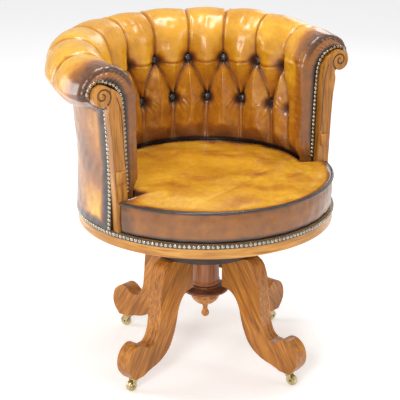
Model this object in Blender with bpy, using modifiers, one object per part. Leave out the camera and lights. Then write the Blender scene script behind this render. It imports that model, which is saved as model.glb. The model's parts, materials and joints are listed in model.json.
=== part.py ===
"""A captain's swivel chair: an oak four-leg base on castors, and a leather tub seat that turns on it.

Metres, +Z up. The chair faces -Y. The origin is on the floor, under the middle of the chair's
bounding box, and the swivel axis stands at (0, AXIS_Y). Base pieces hang from the empty "base" at
the foot of that axis. Seat pieces hang from the empty "seat", on the axis at the seat rail's
underside, so their heights count from there.
"""

import math

import bmesh
import bpy
from mathutils import Matrix, Vector

NAME = "swivel_office_chair"
GAP = 0.0003  # left between pieces that touch
SIDES = (("left", -1), ("right", 1))
SEAT_STEPS = 64  # facets of the seat's rings, so that nested rings stay clear of each other

# Base
LEG_ANGLES = {"front_right": 17.75, "back_right": 107.75, "back_left": 197.75, "front_left": 287.75}
LEG_REACH = 0.2915
LEG_TOP = 0.2890
LEG_THICK = 0.039
LEG_EDGE = 0.004
COLUMN_R = 0.0335
COLUMN_LENGTH = 0.099
COLLAR_R = 0.057
FINIAL_R = 0.0376
BASE_PLATE_R = 0.137
BASE_PLATE_THICK = 0.030
SPINDLE_R = 0.012
SPINDLE_LENGTH = 0.100
SPINDLE_HEAD_R = 0.026
SPINDLE_HEAD_THICK = 0.0131
SPINDLE_STUB = 0.024
BUSH_WALL = 0.006
WASHER_R = 0.030
WASHER_THICK = 0.003

# Castors
CASTOR_R = 0.2555
CASTOR_TRAIL = 0.009
CASTOR_TURNS = {"front_right": 8.0, "back_right": -6.0, "back_left": 12.0, "front_left": -8.0}
WHEEL_R = 0.0140
WHEEL_WIDTH = 0.0130
WHEEL_SIDES = 20
AXLE_R = 0.0020
CHEEK_THICK = 0.0018
FORK_CROWN_R = 0.0105
FORK_CROWN_THICK = 0.0026
SOCKET_R = 0.0135
SOCKET_THICK = 0.0030
PIVOT_R = 0.0030
RUNNING_GAP = 0.0005

# Seat, heights from the rail's underside
SEAT_R = 0.3000
RAIL_DEPTH = 0.0349
RAIL_WALL = 0.050
RAIL_ROUND = 0.004
BOARD_THICK = 0.012
SPIDER_DEPTH = 0.030
SPIDER_HUB_R = 0.034
SPIDER_REACH = 0.155
SPIDER_ARM_WIDTH = 0.034
SPIDER_ARM_END = 0.007
SPRING_R = 0.030
SPRING_WIRE_R = 0.0018
SPRING_TURNS = 3.5
SPRING_RING_R = 0.130
SPRING_COUNT = 5
CANVAS_R = 0.205
CANVAS_THICK = 0.003
CUSHION_WALL = 0.012
CUSHION_EDGE = 0.1055
CUSHION_CROWN = 0.1265
CUSHION_FLAT_R = 0.090
PIPING_R = 0.0032
NAIL_R = 0.0047
NAIL_RISE = 0.0030

# Tub back, heights from the rail's underside
BACK_THICK = 0.064
ROLL_R = 0.064
ROLL_Z = 0.3664
ROLL_DROP = 0.021
UNDERSIDE_RISE = 0.034
TUB_FRONT = -0.0727
FRAME_THICK = 0.022
FRAME_SKIN = 0.0042
TOP_RAIL_Z = 0.306
TOP_RAIL_DEPTH = 0.027
STILE_ANGLES = {"centre": 0.0, "left": 55.0, "right": -55.0, "arm_left": 98.0, "arm_right": -98.0}
STILE_WIDTH = 0.034
SHELL_THICK = 0.0030

# Arm posts, measured from the seat's radius across and from the rail's underside up
POST_THICK = 0.0197
POST_BACK_GAP = 0.0003
SCROLL_X = 0.0163
SCROLL_Z = 0.3513
SCROLL_R = 0.0237
BLOCK_Z = (0.1484, 0.1784)
BLOCK_INSET = 0.0018
BLOCK_RISE = 0.0055

# Worked out from the sizes above
CASTOR_HEIGHT = 2 * WHEEL_R + 3 * RUNNING_GAP + FORK_CROWN_THICK + SOCKET_THICK
FOOT_Z = CASTOR_HEIGHT + 2 * GAP
BASE_TOP = LEG_TOP + GAP + BASE_PLATE_THICK
SPINDLE_SEAT = BASE_TOP + WASHER_THICK + 2 * GAP
RAIL_Z = SPINDLE_SEAT + SPINDLE_HEAD_THICK + SPIDER_DEPTH + 2 * GAP
CUSHION_Z = RAIL_DEPTH + GAP
TUB_R = SEAT_R - BACK_THICK
FRAME_R = SEAT_R - FRAME_SKIN
BACK_REACH = SEAT_R + ROLL_R
FRONT_REACH = SEAT_R + GAP + NAIL_RISE
AXIS_Y = (FRONT_REACH - BACK_REACH) / 2
POST_FRONT = TUB_FRONT - POST_BACK_GAP - POST_THICK
SPRING_Z = GAP + BOARD_THICK + GAP
CANVAS_Z = CUSHION_EDGE - CUSHION_WALL - CANVAS_THICK


def clear_scene():
    for obj in list(bpy.data.objects):
        bpy.data.objects.remove(obj, do_unlink=True)


def new_collection(name):
    collection = bpy.data.collections.new(name)
    bpy.context.scene.collection.children.link(collection)
    return collection


def new_material(name, colour, roughness, metallic=0.0):
    material = bpy.data.materials.new(name)
    material.use_nodes = True
    shader = material.node_tree.nodes["Principled BSDF"]
    shader.inputs["Base Color"].default_value = (*colour, 1.0)
    shader.inputs["Roughness"].default_value = roughness
    shader.inputs["Metallic"].default_value = metallic
    material.diffuse_color = (*colour, 1.0)
    return material


def new_empty(name, location, parent=None):
    empty = bpy.data.objects.new(name, None)
    empty.location = location
    empty.parent = parent
    PARTS.objects.link(empty)
    return empty


def add_object(name, data, material, parent, collection=None):
    obj = bpy.data.objects.new(name, data)
    obj.parent = parent
    if material:
        data.materials.append(material)
    (collection or PARTS).objects.link(obj)
    return obj


def evaluated_mesh(obj):
    bpy.context.view_layer.update()
    graph = bpy.context.evaluated_depsgraph_get()
    return bpy.data.meshes.new_from_object(obj.evaluated_get(graph))


def settled(obj):
    """The same object with its modifiers made part of its mesh."""
    mesh = evaluated_mesh(obj)
    obj.modifiers.clear()
    obj.data = mesh
    return obj


def turned(name, profile, material, parent, steps=32, ring=False, collection=None):
    """A piece turned about its own Z axis. The profile's (radius, height) points run down its outer side."""
    mesh = bpy.data.meshes.new(name)
    edges = [(i, i + 1) for i in range(len(profile) - 1)]
    if ring:
        edges.append((len(profile) - 1, 0))
    mesh.from_pydata([(r, 0.0, z) for r, z in profile], edges, [])
    obj = add_object(name, mesh, material, parent, collection)
    screw = obj.modifiers.new("Turn", "SCREW")
    screw.steps = steps
    screw.render_steps = steps
    screw.use_merge_vertices = True
    screw.merge_threshold = 0.00001
    screw.use_smooth_shade = True
    return obj


def tube_profile(outer, inner, low, high):
    return [(inner, high), (outer, high), (outer, low), (inner, low)]


def arc(centre_x, centre_z, radius, first, last, count):
    """Points on an arc, from the first angle to the last in degrees, ends included."""
    angles = [math.radians(first + (last - first) * i / (count - 1)) for i in range(count)]
    return [(centre_x + radius * math.cos(a), centre_z + radius * math.sin(a)) for a in angles]


def cut(obj, cutter, name="Cut", operation="DIFFERENCE"):
    boolean = obj.modifiers.new(name, "BOOLEAN")
    boolean.operation = operation
    boolean.object = cutter


def box_cutter(name, low, high, parent):
    mesh = bpy.data.meshes.new(name)
    frame = bmesh.new()
    bmesh.ops.create_cube(frame, size=1.0)
    low, high = Vector(low), Vector(high)
    bmesh.ops.scale(frame, vec=high - low, verts=frame.verts)
    bmesh.ops.translate(frame, vec=(low + high) / 2, verts=frame.verts)
    frame.to_mesh(mesh)
    frame.free()
    return as_cutter(add_object(name, mesh, None, parent, CUTTERS))


def as_cutter(obj):
    obj.hide_render = True
    obj.display_type = "WIRE"
    return obj


def flat_piece(name, outline, thickness, material, parent, detail=2):
    """An upright board whose outline, of (x, z, is_corner) points, is centred on the XZ plane."""
    curve = bpy.data.curves.new(name, "CURVE")
    curve.dimensions = "2D"
    curve.fill_mode = "BOTH"
    curve.extrude = thickness / 2
    curve.resolution_u = detail
    spline = curve.splines.new("BEZIER")
    spline.bezier_points.add(len(outline) - 1)
    for point, (x, z, corner) in zip(spline.bezier_points, outline):
        point.co = (x, z, 0.0)
        point.handle_left_type = point.handle_right_type = "VECTOR" if corner else "AUTO"
    spline.use_cyclic_u = True
    guide = bpy.data.objects.new(name + "_outline", curve)
    CUTTERS.objects.link(guide)
    mesh = evaluated_mesh(guide)
    bpy.data.objects.remove(guide, do_unlink=True)
    mesh.transform(Matrix.Rotation(math.radians(90), 4, "X"))
    weld(mesh)
    return add_object(name, mesh, material, parent)


def rod(name, points, radius, material, parent, sides=2):
    """A round rod along the points."""
    curve = bpy.data.curves.new(name, "CURVE")
    curve.dimensions = "3D"
    curve.bevel_depth = radius
    curve.bevel_resolution = sides
    curve.use_fill_caps = True
    spline = curve.splines.new("POLY")
    spline.points.add(len(points) - 1)
    for point, place in zip(spline.points, points):
        point.co = (*place, 1.0)
    guide = bpy.data.objects.new(name + "_path", curve)
    CUTTERS.objects.link(guide)
    mesh = evaluated_mesh(guide)
    bpy.data.objects.remove(guide, do_unlink=True)
    weld(mesh)
    return add_object(name, mesh, material, parent)


def weld(mesh):
    frame = bmesh.new()
    frame.from_mesh(mesh)
    bmesh.ops.remove_doubles(frame, verts=frame.verts, dist=0.00001)
    bmesh.ops.recalc_face_normals(frame, faces=frame.faces)
    frame.to_mesh(mesh)
    frame.free()


def bevel(obj, width, segments=1):
    modifier = obj.modifiers.new("Rounded edges", "BEVEL")
    modifier.width = width
    modifier.segments = segments
    modifier.limit_method = "ANGLE"
    modifier.angle_limit = math.radians(50)


def smooth(obj, degrees=40):
    obj.data.shade_smooth()
    obj.data.set_sharp_from_angle(angle=math.radians(degrees))


def ease(share):
    share = min(1.0, max(0.0, share))
    return share * share * (3 - 2 * share)


# ---------------------------------------------------------------- base


def leg_outline():
    """The leg's side view: down its outer edge, round the upturned scroll foot, and up its inner edge."""
    hub = COLUMN_R + GAP
    reach = LEG_REACH - hub
    rise = LEG_TOP - FOOT_Z
    shares = (
        (0.435, 1.000, True),
        (0.492, 0.962, False),
        (0.532, 0.875, False),
        (0.563, 0.726, False),
        (0.583, 0.518, False),
        (0.610, 0.360, False),
        (0.670, 0.273, False),
        (0.748, 0.259, True),
        (0.855, 0.321, False),
        (0.945, 0.287, False),
        (0.997, 0.191, False),
        (0.990, 0.093, False),
        (0.925, 0.000, True),
        (0.820, 0.000, True),
        (0.745, 0.028, False),
        (0.600, 0.070, False),
        (0.475, 0.153, False),
        (0.405, 0.267, False),
        (0.362, 0.395, False),
        (0.326, 0.524, False),
        (0.266, 0.616, False),
        (0.195, 0.652, False),
        (0.131, 0.664, True),
        (0.131, 1.000, True),
    )
    return [(hub + out * reach, FOOT_Z + up * rise, corner) for out, up, corner in shares]


def leg(place, angle):
    board = flat_piece("leg_" + place, leg_outline(), LEG_THICK, OAK, BASE)
    board.rotation_euler.z = math.radians(angle - 90)
    bevel(board, LEG_EDGE)
    smooth(board)


def column():
    bore = SPINDLE_R + BUSH_WALL + 2 * GAP
    low = LEG_TOP - COLUMN_LENGTH
    bead = 0.0015
    outer = [
        (COLUMN_R, LEG_TOP),
        (COLUMN_R, low + 4 * bead),
        (COLUMN_R + bead, low + 3 * bead),
        (COLUMN_R + bead, low),
    ]
    turned("column", [(bore, LEG_TOP), *outer, (bore, low)], OAK_DARK, BASE, ring=True)


def collar_bottom():
    return LEG_TOP - COLUMN_LENGTH - GAP - 0.025


def collar():
    """The moulded disc under the column, which the spindle's foot turns in."""
    top = LEG_TOP - COLUMN_LENGTH - GAP
    profile = [
        (0.0, top),
        (COLLAR_R - 0.007, top),
        (COLLAR_R, top - 0.004),
        (COLLAR_R, top - 0.009),
        (COLLAR_R - 0.006, top - 0.013),
        (COLLAR_R - 0.009, top - 0.014),
        (COLLAR_R - 0.011, top - 0.019),
        (COLLAR_R - 0.017, collar_bottom()),
        (0.0, collar_bottom()),
    ]
    turned("collar", profile, OAK_DARK, BASE)


def finial():
    """The turned bowl and drop below the collar."""
    top = collar_bottom() - GAP
    bowl_depth = 0.031
    neck_r = 0.0062
    drop_r = 0.0098
    neck = top - bowl_depth
    drop = neck - 0.0235
    bowl = arc(0.0, top - 0.004, FINIAL_R, 0, -62, 5)
    knob = arc(0.0, drop, drop_r, 55, -90, 5)
    profile = [(0.0, top), (FINIAL_R, top), *bowl, (neck_r + 0.002, neck), (neck_r, neck - 0.006)]
    turned("finial", [*profile, *knob[:-1], (0.0, drop - drop_r)], OAK, BASE, steps=24)


def base_plate():
    bore = SPINDLE_R + BUSH_WALL + 2 * GAP
    turned("base_plate", tube_profile(BASE_PLATE_R, bore, LEG_TOP + GAP, BASE_TOP), OAK_DARK, BASE, 48, True)


def spindle_bush():
    outer = SPINDLE_R + BUSH_WALL + GAP
    inner = SPINDLE_R + GAP
    low = LEG_TOP - COLUMN_LENGTH + GAP
    turned("spindle_bush", tube_profile(outer, inner, low, BASE_TOP), BRASS, BASE, 24, True)


def thrust_washer():
    low = BASE_TOP + GAP
    ring = tube_profile(WASHER_R, SPINDLE_R + GAP, low, low + WASHER_THICK)
    turned("thrust_washer", ring, BRASS, BASE, 24, True)


# ---------------------------------------------------------------- castors


def castor(place, angle):
    """One castor: a plate under the foot, a fork that swivels on it, and a wheel on its axle."""
    turn = math.radians(angle)
    spot = (CASTOR_R * math.sin(turn), -CASTOR_R * math.cos(turn), 0.0)
    swivel = new_empty("castor_swivel_" + place, spot, BASE)
    swivel.rotation_euler.z = turn + math.radians(CASTOR_TURNS[place])
    castor_socket(place, swivel)
    castor_fork(place, swivel)
    hub = new_empty("castor_hub_" + place, (0.0, -CASTOR_TRAIL, wheel_height()), swivel)
    hub.rotation_euler.y = math.radians(90)
    castor_wheel(place, hub)
    castor_axle(place, hub)


def wheel_height():
    """The wheel stands on a flat of its rim."""
    return WHEEL_R * math.cos(math.pi / WHEEL_SIDES)


def crown_bottom():
    return wheel_height() + WHEEL_R + 2 * RUNNING_GAP


def castor_socket(place, swivel):
    low = crown_bottom() + FORK_CROWN_THICK + RUNNING_GAP
    ring = tube_profile(SOCKET_R, PIVOT_R + RUNNING_GAP, low, FOOT_Z - GAP)
    turned("castor_socket_" + place, ring, BRASS, swivel, 20, True)


def castor_fork(place, swivel):
    """A crown and pivot over two cheeks, joined into one casting, with the axle's holes."""
    low = crown_bottom()
    high = low + FORK_CROWN_THICK
    pivot_top = FOOT_Z - 3 * GAP
    profile = [
        (0.0, pivot_top),
        (PIVOT_R, pivot_top),
        (PIVOT_R, high),
        (FORK_CROWN_R, high),
        (FORK_CROWN_R, low),
        (0.0, low),
    ]
    name = "castor_fork_" + place
    fork = turned(name, profile, BRASS, swivel, 20)
    reach = WHEEL_WIDTH / 2 + RUNNING_GAP
    for side, sign in SIDES:
        cheek = cheek_board(f"{name}_cheek_{side}", swivel)
        cheek.location.x = sign * (reach + CHEEK_THICK / 2)
        cut(fork, cheek, "Cheek " + side, "UNION")
    bore = rod(name + "_bore", [(-0.02, 0, 0), (0.02, 0, 0)], AXLE_R + GAP, None, swivel)
    bore.location = (0.0, -CASTOR_TRAIL, wheel_height())
    move_to_cutters(bore)
    cut(fork, bore, "Axle hole")
    settled(fork)


def cheek_board(name, swivel):
    """A cheek that runs from the crown down to a round end about the axle."""
    end_r = AXLE_R + 0.0028
    axle_y = -CASTOR_TRAIL
    top = crown_bottom() + FORK_CROWN_THICK / 2
    round_end = arc(axle_y, wheel_height(), end_r, 200, 340, 5)
    outline = [(y, z, True) for y, z in [(-0.0080, top), *round_end, (0.0060, top)]]
    board = flat_piece(name, outline, CHEEK_THICK, None, swivel)
    board.rotation_euler.z = math.radians(90)
    move_to_cutters(board)
    return board


def move_to_cutters(obj):
    PARTS.objects.unlink(obj)
    CUTTERS.objects.link(obj)
    as_cutter(obj)


def castor_wheel(place, hub):
    half = WHEEL_WIDTH / 2
    bore = AXLE_R + GAP
    shoulder = 0.0025
    profile = [
        (bore, half),
        (WHEEL_R - shoulder, half),
        (WHEEL_R, half - shoulder),
        (WHEEL_R, shoulder - half),
        (WHEEL_R - shoulder, -half),
        (bore, -half),
    ]
    wheel = turned("castor_wheel_" + place, profile, BRASS, hub, WHEEL_SIDES, True)
    wheel.rotation_euler.z = math.pi / WHEEL_SIDES


def castor_axle(place, hub):
    reach = WHEEL_WIDTH / 2 + RUNNING_GAP + CHEEK_THICK + 0.0006
    profile = [(0.0, reach), (AXLE_R, reach), (AXLE_R, -reach), (0.0, -reach)]
    turned("castor_axle_" + place, profile, IRON, hub, 12)


# ---------------------------------------------------------------- turning gear


def spindle():
    """The steel spindle: its head carries the spider, its shaft turns in the bush."""
    head = SPINDLE_SEAT - RAIL_Z
    foot = head - SPINDLE_LENGTH
    top = head + SPINDLE_HEAD_THICK
    profile = [
        (0.0, top + SPINDLE_STUB),
        (SPINDLE_R, top + SPINDLE_STUB),
        (SPINDLE_R, top),
        (SPINDLE_HEAD_R, top),
        (SPINDLE_HEAD_R, head),
        (SPINDLE_R, head),
        (SPINDLE_R, foot),
        (0.0, foot),
    ]
    turned("spindle", profile, IRON, SEAT, 24)


def seat_spider():
    """The iron casting under the seat: a hub on the spindle and four arms that taper outwards."""
    ring = tube_profile(SPIDER_HUB_R, SPINDLE_R + GAP, -GAP - SPIDER_DEPTH, -GAP)
    spider = turned("seat_spider", ring, IRON, SEAT, 24, True)
    for i in range(4):
        cut(spider, spider_arm(i), f"Arm {i + 1}", "UNION")
    settled(spider)


def spider_arm(number):
    mesh = bpy.data.meshes.new("spider_arm")
    frame = bmesh.new()
    bmesh.ops.create_cube(frame, size=1.0)
    root = SPIDER_HUB_R - 0.006
    for vertex in frame.verts:
        outer = vertex.co.x > 0
        depth = SPIDER_ARM_END if outer else SPIDER_DEPTH - 0.004
        width = SPIDER_ARM_WIDTH * (0.8 if outer else 1.0)
        z = -GAP if vertex.co.z > 0 else -GAP - depth
        vertex.co = (SPIDER_REACH if outer else root, width * vertex.co.y, z)
    frame.to_mesh(mesh)
    frame.free()
    arm = add_object(f"spider_arm_{number}", mesh, None, SEAT, CUTTERS)
    arm.rotation_euler.z = math.radians(45 + 90 * number)
    return as_cutter(arm)


# ---------------------------------------------------------------- seat


def seat_rail():
    """The oak ring that carries the tub. Its edge shows below the leather."""
    inner = SEAT_R - RAIL_WALL
    edge = arc(SEAT_R - RAIL_ROUND, RAIL_ROUND, RAIL_ROUND, 0, -90, 3)
    profile = [(inner, RAIL_DEPTH), (SEAT_R, RAIL_DEPTH), *edge, (inner, 0.0)]
    turned("seat_rail", profile, OAK, SEAT, SEAT_STEPS, True)


def seat_board():
    outer = SEAT_R - RAIL_WALL - GAP
    low = GAP
    profile = [(0.0, low + BOARD_THICK), (outer, low + BOARD_THICK), (outer, low), (0.0, low)]
    turned("seat_board", profile, PINE, SEAT, SEAT_STEPS)


def seat_spring(number, x, y):
    """A waisted coil spring between the board and the canvas."""
    low = SPRING_Z + SPRING_WIRE_R
    high = CANVAS_Z - GAP - SPRING_WIRE_R
    count = int(SPRING_TURNS * 8) + 1
    points = []
    for i in range(count):
        share = i / (count - 1)
        angle = math.tau * SPRING_TURNS * share
        waist = SPRING_R * (1 - 0.3 * math.sin(math.pi * share))
        points.append((waist * math.cos(angle), waist * math.sin(angle), low + (high - low) * share))
    spring = rod(f"seat_spring_{number}", points, SPRING_WIRE_R, IRON, SEAT, 0)
    spring.location = (x, y, 0.0)


def seat_springs():
    for i in range(SPRING_COUNT):
        angle = math.tau * i / SPRING_COUNT + math.pi / 2
        seat_spring(i + 1, SPRING_RING_R * math.cos(angle), SPRING_RING_R * math.sin(angle))


def spring_canvas():
    profile = [(0.0, CANVAS_Z + CANVAS_THICK), (CANVAS_R, CANVAS_Z + CANVAS_THICK)]
    turned("spring_canvas", [*profile, (CANVAS_R, CANVAS_Z), (0.0, CANVAS_Z)], CANVAS, SEAT, SEAT_STEPS)


def cushion_top(radius):
    """Height of the cushion's leather at a radius."""
    rim = SEAT_R - 2 * PIPING_R
    low = CUSHION_EDGE + PIPING_R + 2 * GAP
    share = (radius - CUSHION_FLAT_R) / (rim - CUSHION_FLAT_R)
    return low + (CUSHION_CROWN - low) * (1 - max(0.0, share) ** 2.2)


def seat_cushion():
    """The sprung cushion: open below, the full width in front of the posts and inside the tub behind."""
    rim = SEAT_R - 2 * PIPING_R
    side = SEAT_R - 0.0015
    hollow_r = CANVAS_R + 0.006
    hollow_top = CANVAS_Z + CANVAS_THICK + GAP
    radii = [CUSHION_FLAT_R + (rim - CUSHION_FLAT_R) * i / 5 for i in range(6)]
    dome = [(0.0, CUSHION_CROWN), *((r, cushion_top(r)) for r in radii)]
    ledge = CUSHION_EDGE - PIPING_R - 2 * GAP
    foot = [(rim, ledge), (side, ledge), (side, CUSHION_Z), (hollow_r, CUSHION_Z)]
    hollow = [(hollow_r, hollow_top), (0.0, hollow_top)]
    cushion = turned("seat_cushion", dome + foot + hollow, LEATHER, SEAT, SEAT_STEPS)
    cut(cushion, tub_cutter(), "Room for the tub")
    settled(cushion)


def tub_cutter():
    """What lies outside the tub's inner face, behind the posts' front faces."""
    inner = TUB_R - GAP
    ring = tube_profile(SEAT_R + 0.05, inner, 0.0, 0.2)
    cutter = turned("tub_room", ring, None, SEAT, SEAT_STEPS, True, CUTTERS)
    cut(cutter, box_cutter("tub_room_front", (-1, -1, -0.1), (1, POST_FRONT - GAP, 0.4), SEAT))
    settled(cutter)
    return as_cutter(cutter)


def seat_piping():
    """The piping round the cushion's front edge, from post to post."""
    radius = SEAT_R - PIPING_R + 0.0015
    end = math.asin((-POST_FRONT + PIPING_R + GAP) / radius)
    count = 33
    points = []
    for i in range(count):
        angle = -end - (math.pi - 2 * end) * i / (count - 1)
        points.append((radius * math.cos(angle), radius * math.sin(angle), CUSHION_EDGE))
    rod("seat_piping", points, PIPING_R - GAP, LEATHER_DARK, SEAT, 1)


def rail_nails():
    """The row of nail heads round the rail, as one beaded strip."""
    top = RAIL_DEPTH - GAP
    inner = SEAT_R + GAP
    outer = inner + NAIL_RISE
    low = top - 2 * NAIL_R
    profile = [(inner, top), (outer, top - NAIL_R), (inner, low)]
    turned("rail_nails", profile, NAIL_BRASS, SEAT, SEAT_STEPS, True)


# ---------------------------------------------------------------- tub back


def roll_drop(x, y, z):
    """How far the roll sinks towards the arms: nothing at the back, all of it at the posts."""
    away = math.degrees(math.atan2(abs(x), y))
    along = ease((away - 50) / 50)
    up = ease((z - 0.130) / 0.160)
    return ROLL_DROP * along * up


def underside_rise(x, y, z):
    """How far the roll's underside is gathered up in the last of its run to the posts."""
    away = math.degrees(math.atan2(abs(x), y))
    up = ease((z - 0.130) / 0.160) * (1 - ease((z - shell_top()) / (ROLL_Z - shell_top())))
    return UNDERSIDE_RISE * ease((away - 70) / 32) * up


def drop_towards_arms(obj, gathered_from=1.0):
    """Lowers the roll towards the arms, and gathers up what lies past a radius."""
    for vertex in obj.data.vertices:
        x, y, z = vertex.co
        rise = underside_rise(x, y, z) if math.hypot(x, y) > gathered_from else 0.0
        vertex.co.z = z + rise - roll_drop(x, y, z)
    return obj


def unmoved_height(z):
    """The height at the posts, before the roll was lowered and gathered, of what ends at this height."""
    height = z
    for _ in range(8):
        rise = underside_rise(SEAT_R, TUB_FRONT, height)
        height = z + roll_drop(SEAT_R, TUB_FRONT, height) - rise
    return height


def front_cutter():
    return box_cutter("tub_front", (-1, -1, -0.5), (1, TUB_FRONT, 1), SEAT)


def shell_radius(z):
    """Radius of the outside leather: a faint waist, flaring up to the roll."""
    waist = 0.155
    below = 0.0036 * max(0.0, (waist - z) / (waist - CUSHION_Z)) ** 1.6
    above = 0.0095 * max(0.0, (z - waist) / (TOP_RAIL_Z - waist)) ** 1.7
    return SEAT_R - 0.0010 + below + above


def shell_top():
    return TOP_RAIL_Z - 0.002


def back_pad(front):
    """The padded inside of the tub and its rolled top, closed round the frame."""
    skirt_r = shell_radius(shell_top()) - SHELL_THICK - 2 * GAP
    frame_inner = FRAME_R - FRAME_THICK - GAP
    cover = FRAME_R + 2 * GAP
    top = TOP_RAIL_Z + TOP_RAIL_DEPTH + GAP
    skirt_z = shell_top() + GAP
    under = math.degrees(math.asin((skirt_z - ROLL_Z) / ROLL_R))
    roll = arc(SEAT_R, ROLL_Z, ROLL_R, 180, under, 15)
    outside = [(skirt_r, skirt_z), (cover, skirt_z), (cover, top)]
    inside = [(frame_inner, top), (frame_inner, CUSHION_Z), (TUB_R, CUSHION_Z), (TUB_R, 0.2)]
    pad = turned("back_pad", roll[:-1] + outside + inside, LEATHER, SEAT, SEAT_STEPS, True)
    drop_towards_arms(settled(pad), SEAT_R + 0.002)
    cut(pad, front)
    settled(pad)


def outside_back(front):
    """The leather shell outside the tub, from the rail up to the roll."""
    heights = [CUSHION_Z + (shell_top() - CUSHION_Z) * i / 5 for i in range(6)]
    outer = [(shell_radius(z), z) for z in reversed(heights)]
    inner = [(r - SHELL_THICK, z) for r, z in reversed(outer)]
    shell = turned("outside_back", outer + inner, LEATHER, SEAT, SEAT_STEPS, True)
    drop_towards_arms(settled(shell), 0.0)
    cut(shell, front)
    settled(shell)


def back_top_rail(front):
    """The bent beech rail inside the roll."""
    ring = tube_profile(FRAME_R - 0.0015, FRAME_R - FRAME_THICK, TOP_RAIL_Z, TOP_RAIL_Z + TOP_RAIL_DEPTH)
    rail = turned("back_top_rail", ring, BEECH, SEAT, SEAT_STEPS, True)
    drop_towards_arms(settled(rail))
    cut(rail, front)
    settled(rail)


def back_stile(place, angle):
    """An upright between the seat rail and the top rail."""
    depth = 0.017
    radius = FRAME_R - FRAME_THICK + 0.0015 + depth / 2
    mesh = bpy.data.meshes.new("stile")
    frame = bmesh.new()
    bmesh.ops.create_cube(frame, size=1.0)
    turn = math.radians(90 + angle)
    x, y = radius * math.cos(turn), radius * math.sin(turn)
    low = CUSHION_Z
    nearest = math.radians(90 + abs(angle)) + STILE_WIDTH / 2 / (radius - depth / 2)
    high = TOP_RAIL_Z - 2 * GAP - roll_drop(math.cos(nearest), math.sin(nearest), TOP_RAIL_Z)
    bmesh.ops.scale(frame, vec=(STILE_WIDTH, depth, high - low), verts=frame.verts)
    frame.to_mesh(mesh)
    frame.free()
    stile = add_object("back_stile_" + place, mesh, BEECH, SEAT)
    stile.location = (x, y, (low + high) / 2)
    stile.rotation_euler.z = turn - math.pi / 2


# ---------------------------------------------------------------- arm fronts


def post_outline(sign):
    """The post's front view: up its inner edge, over the scroll, and down its outer edge."""
    scroll = arc(SCROLL_X, SCROLL_Z, SCROLL_R, 125, -118, 12)
    inner = ((-0.0395, CUSHION_Z), (-0.0395, 0.120), (-0.0365, 0.190), (-0.0340, 0.270), (-0.0300, 0.333))
    inner += ((-0.0230, 0.353),)
    outer = ((0.0040, 0.308), (-0.0015, 0.268), (-0.0060, 0.200), (-0.0092, 0.130), (-0.0130, CUSHION_Z))
    points = [(x, z, False) for x, z in inner + tuple(scroll) + outer]
    points[0] = (*inner[0], True)
    points[-1] = (*outer[-1], True)
    return [(sign * (SEAT_R + x), z, corner) for x, z, corner in points]


def arm_post(side, sign):
    post = flat_piece("arm_post_" + side, post_outline(sign), POST_THICK, OAK, SEAT)
    post.location.y = POST_FRONT + POST_THICK / 2
    bevel(post, 0.0012)
    smooth(post)


def arm_block(side, sign):
    """The small raised block across the post's face."""
    mesh = bpy.data.meshes.new("arm_block")
    frame = bmesh.new()
    bmesh.ops.create_cube(frame, size=1.0)
    inner = SEAT_R - 0.0370 + BLOCK_INSET
    outer = SEAT_R - 0.0085 - BLOCK_INSET
    low, high = BLOCK_Z
    bmesh.ops.scale(frame, vec=(outer - inner, BLOCK_RISE, high - low), verts=frame.verts)
    frame.to_mesh(mesh)
    frame.free()
    block = add_object("arm_block_" + side, mesh, OAK, SEAT)
    block.location = (sign * (inner + outer) / 2, POST_FRONT - GAP - BLOCK_RISE / 2, (low + high) / 2)
    bevel(block, 0.0015)


def arm_nails_inner(side, sign):
    """The row beside the post's inner edge and round its scroll, as one strip."""
    radius = NAIL_RISE / 2 + 0.001
    round_scroll = arc(SCROLL_X, SCROLL_Z, SCROLL_R + 0.0060, 112, 10, 9)
    straight = [(-0.0475, 0.122), (-0.0455, 0.190), (-0.0430, 0.260), (-0.0395, 0.315)]
    straight += [(-0.0370, 0.338), (-0.0290, 0.3585), (-0.0155, 0.3710)]
    y = TUB_FRONT - GAP - radius
    points = [(sign * (SEAT_R + x), y, z) for x, z in straight + round_scroll]
    rod("arm_nails_inner_" + side, points, radius, NAIL_BRASS, SEAT, 1)


def arm_nails_outer(side, sign):
    """The row down the outside leather, behind the post, as one strip."""
    radius = NAIL_RISE / 2
    y = TUB_FRONT + NAIL_R
    points = []
    low = CUSHION_Z + 0.006
    high = shell_top() - ROLL_DROP + UNDERSIDE_RISE - 0.013
    for i in range(9):
        z = low + (high - low) * i / 8
        reach = shell_radius(unmoved_height(z)) + radius + 2 * GAP
        points.append((sign * math.sqrt(reach**2 - y**2), y, z))
    rod("arm_nails_outer_" + side, points, radius, NAIL_BRASS, SEAT, 1)


# ---------------------------------------------------------------- assembly

clear_scene()
PARTS = new_collection(NAME)
CUTTERS = new_collection("cutters")
CUTTERS.hide_render = True

OAK = new_material("oak", (0.46, 0.22, 0.06), 0.35)
OAK_DARK = new_material("dark_oak", (0.20, 0.08, 0.035), 0.35)
BEECH = new_material("beech", (0.55, 0.38, 0.22), 0.6)
PINE = new_material("pine_board", (0.50, 0.36, 0.20), 0.7)
IRON = new_material("iron", (0.05, 0.045, 0.04), 0.5, 1.0)
BRASS = new_material("brass", (0.75, 0.60, 0.30), 0.3, 1.0)
NAIL_BRASS = new_material("antique_brass", (0.18, 0.12, 0.08), 0.35, 1.0)
CANVAS = new_material("canvas", (0.55, 0.45, 0.30), 0.9)
LEATHER = new_material("leather", (0.55, 0.27, 0.04), 0.4)
LEATHER_DARK = new_material("dark_leather", (0.10, 0.05, 0.03), 0.4)

BASE = new_empty("base", (0.0, AXIS_Y, 0.0))
SEAT = new_empty("seat", (0.0, AXIS_Y, RAIL_Z))

for leg_place, leg_angle in LEG_ANGLES.items():
    leg(leg_place, leg_angle)
    castor(leg_place, leg_angle)
column()
collar()
finial()
base_plate()
spindle_bush()
thrust_washer()

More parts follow.
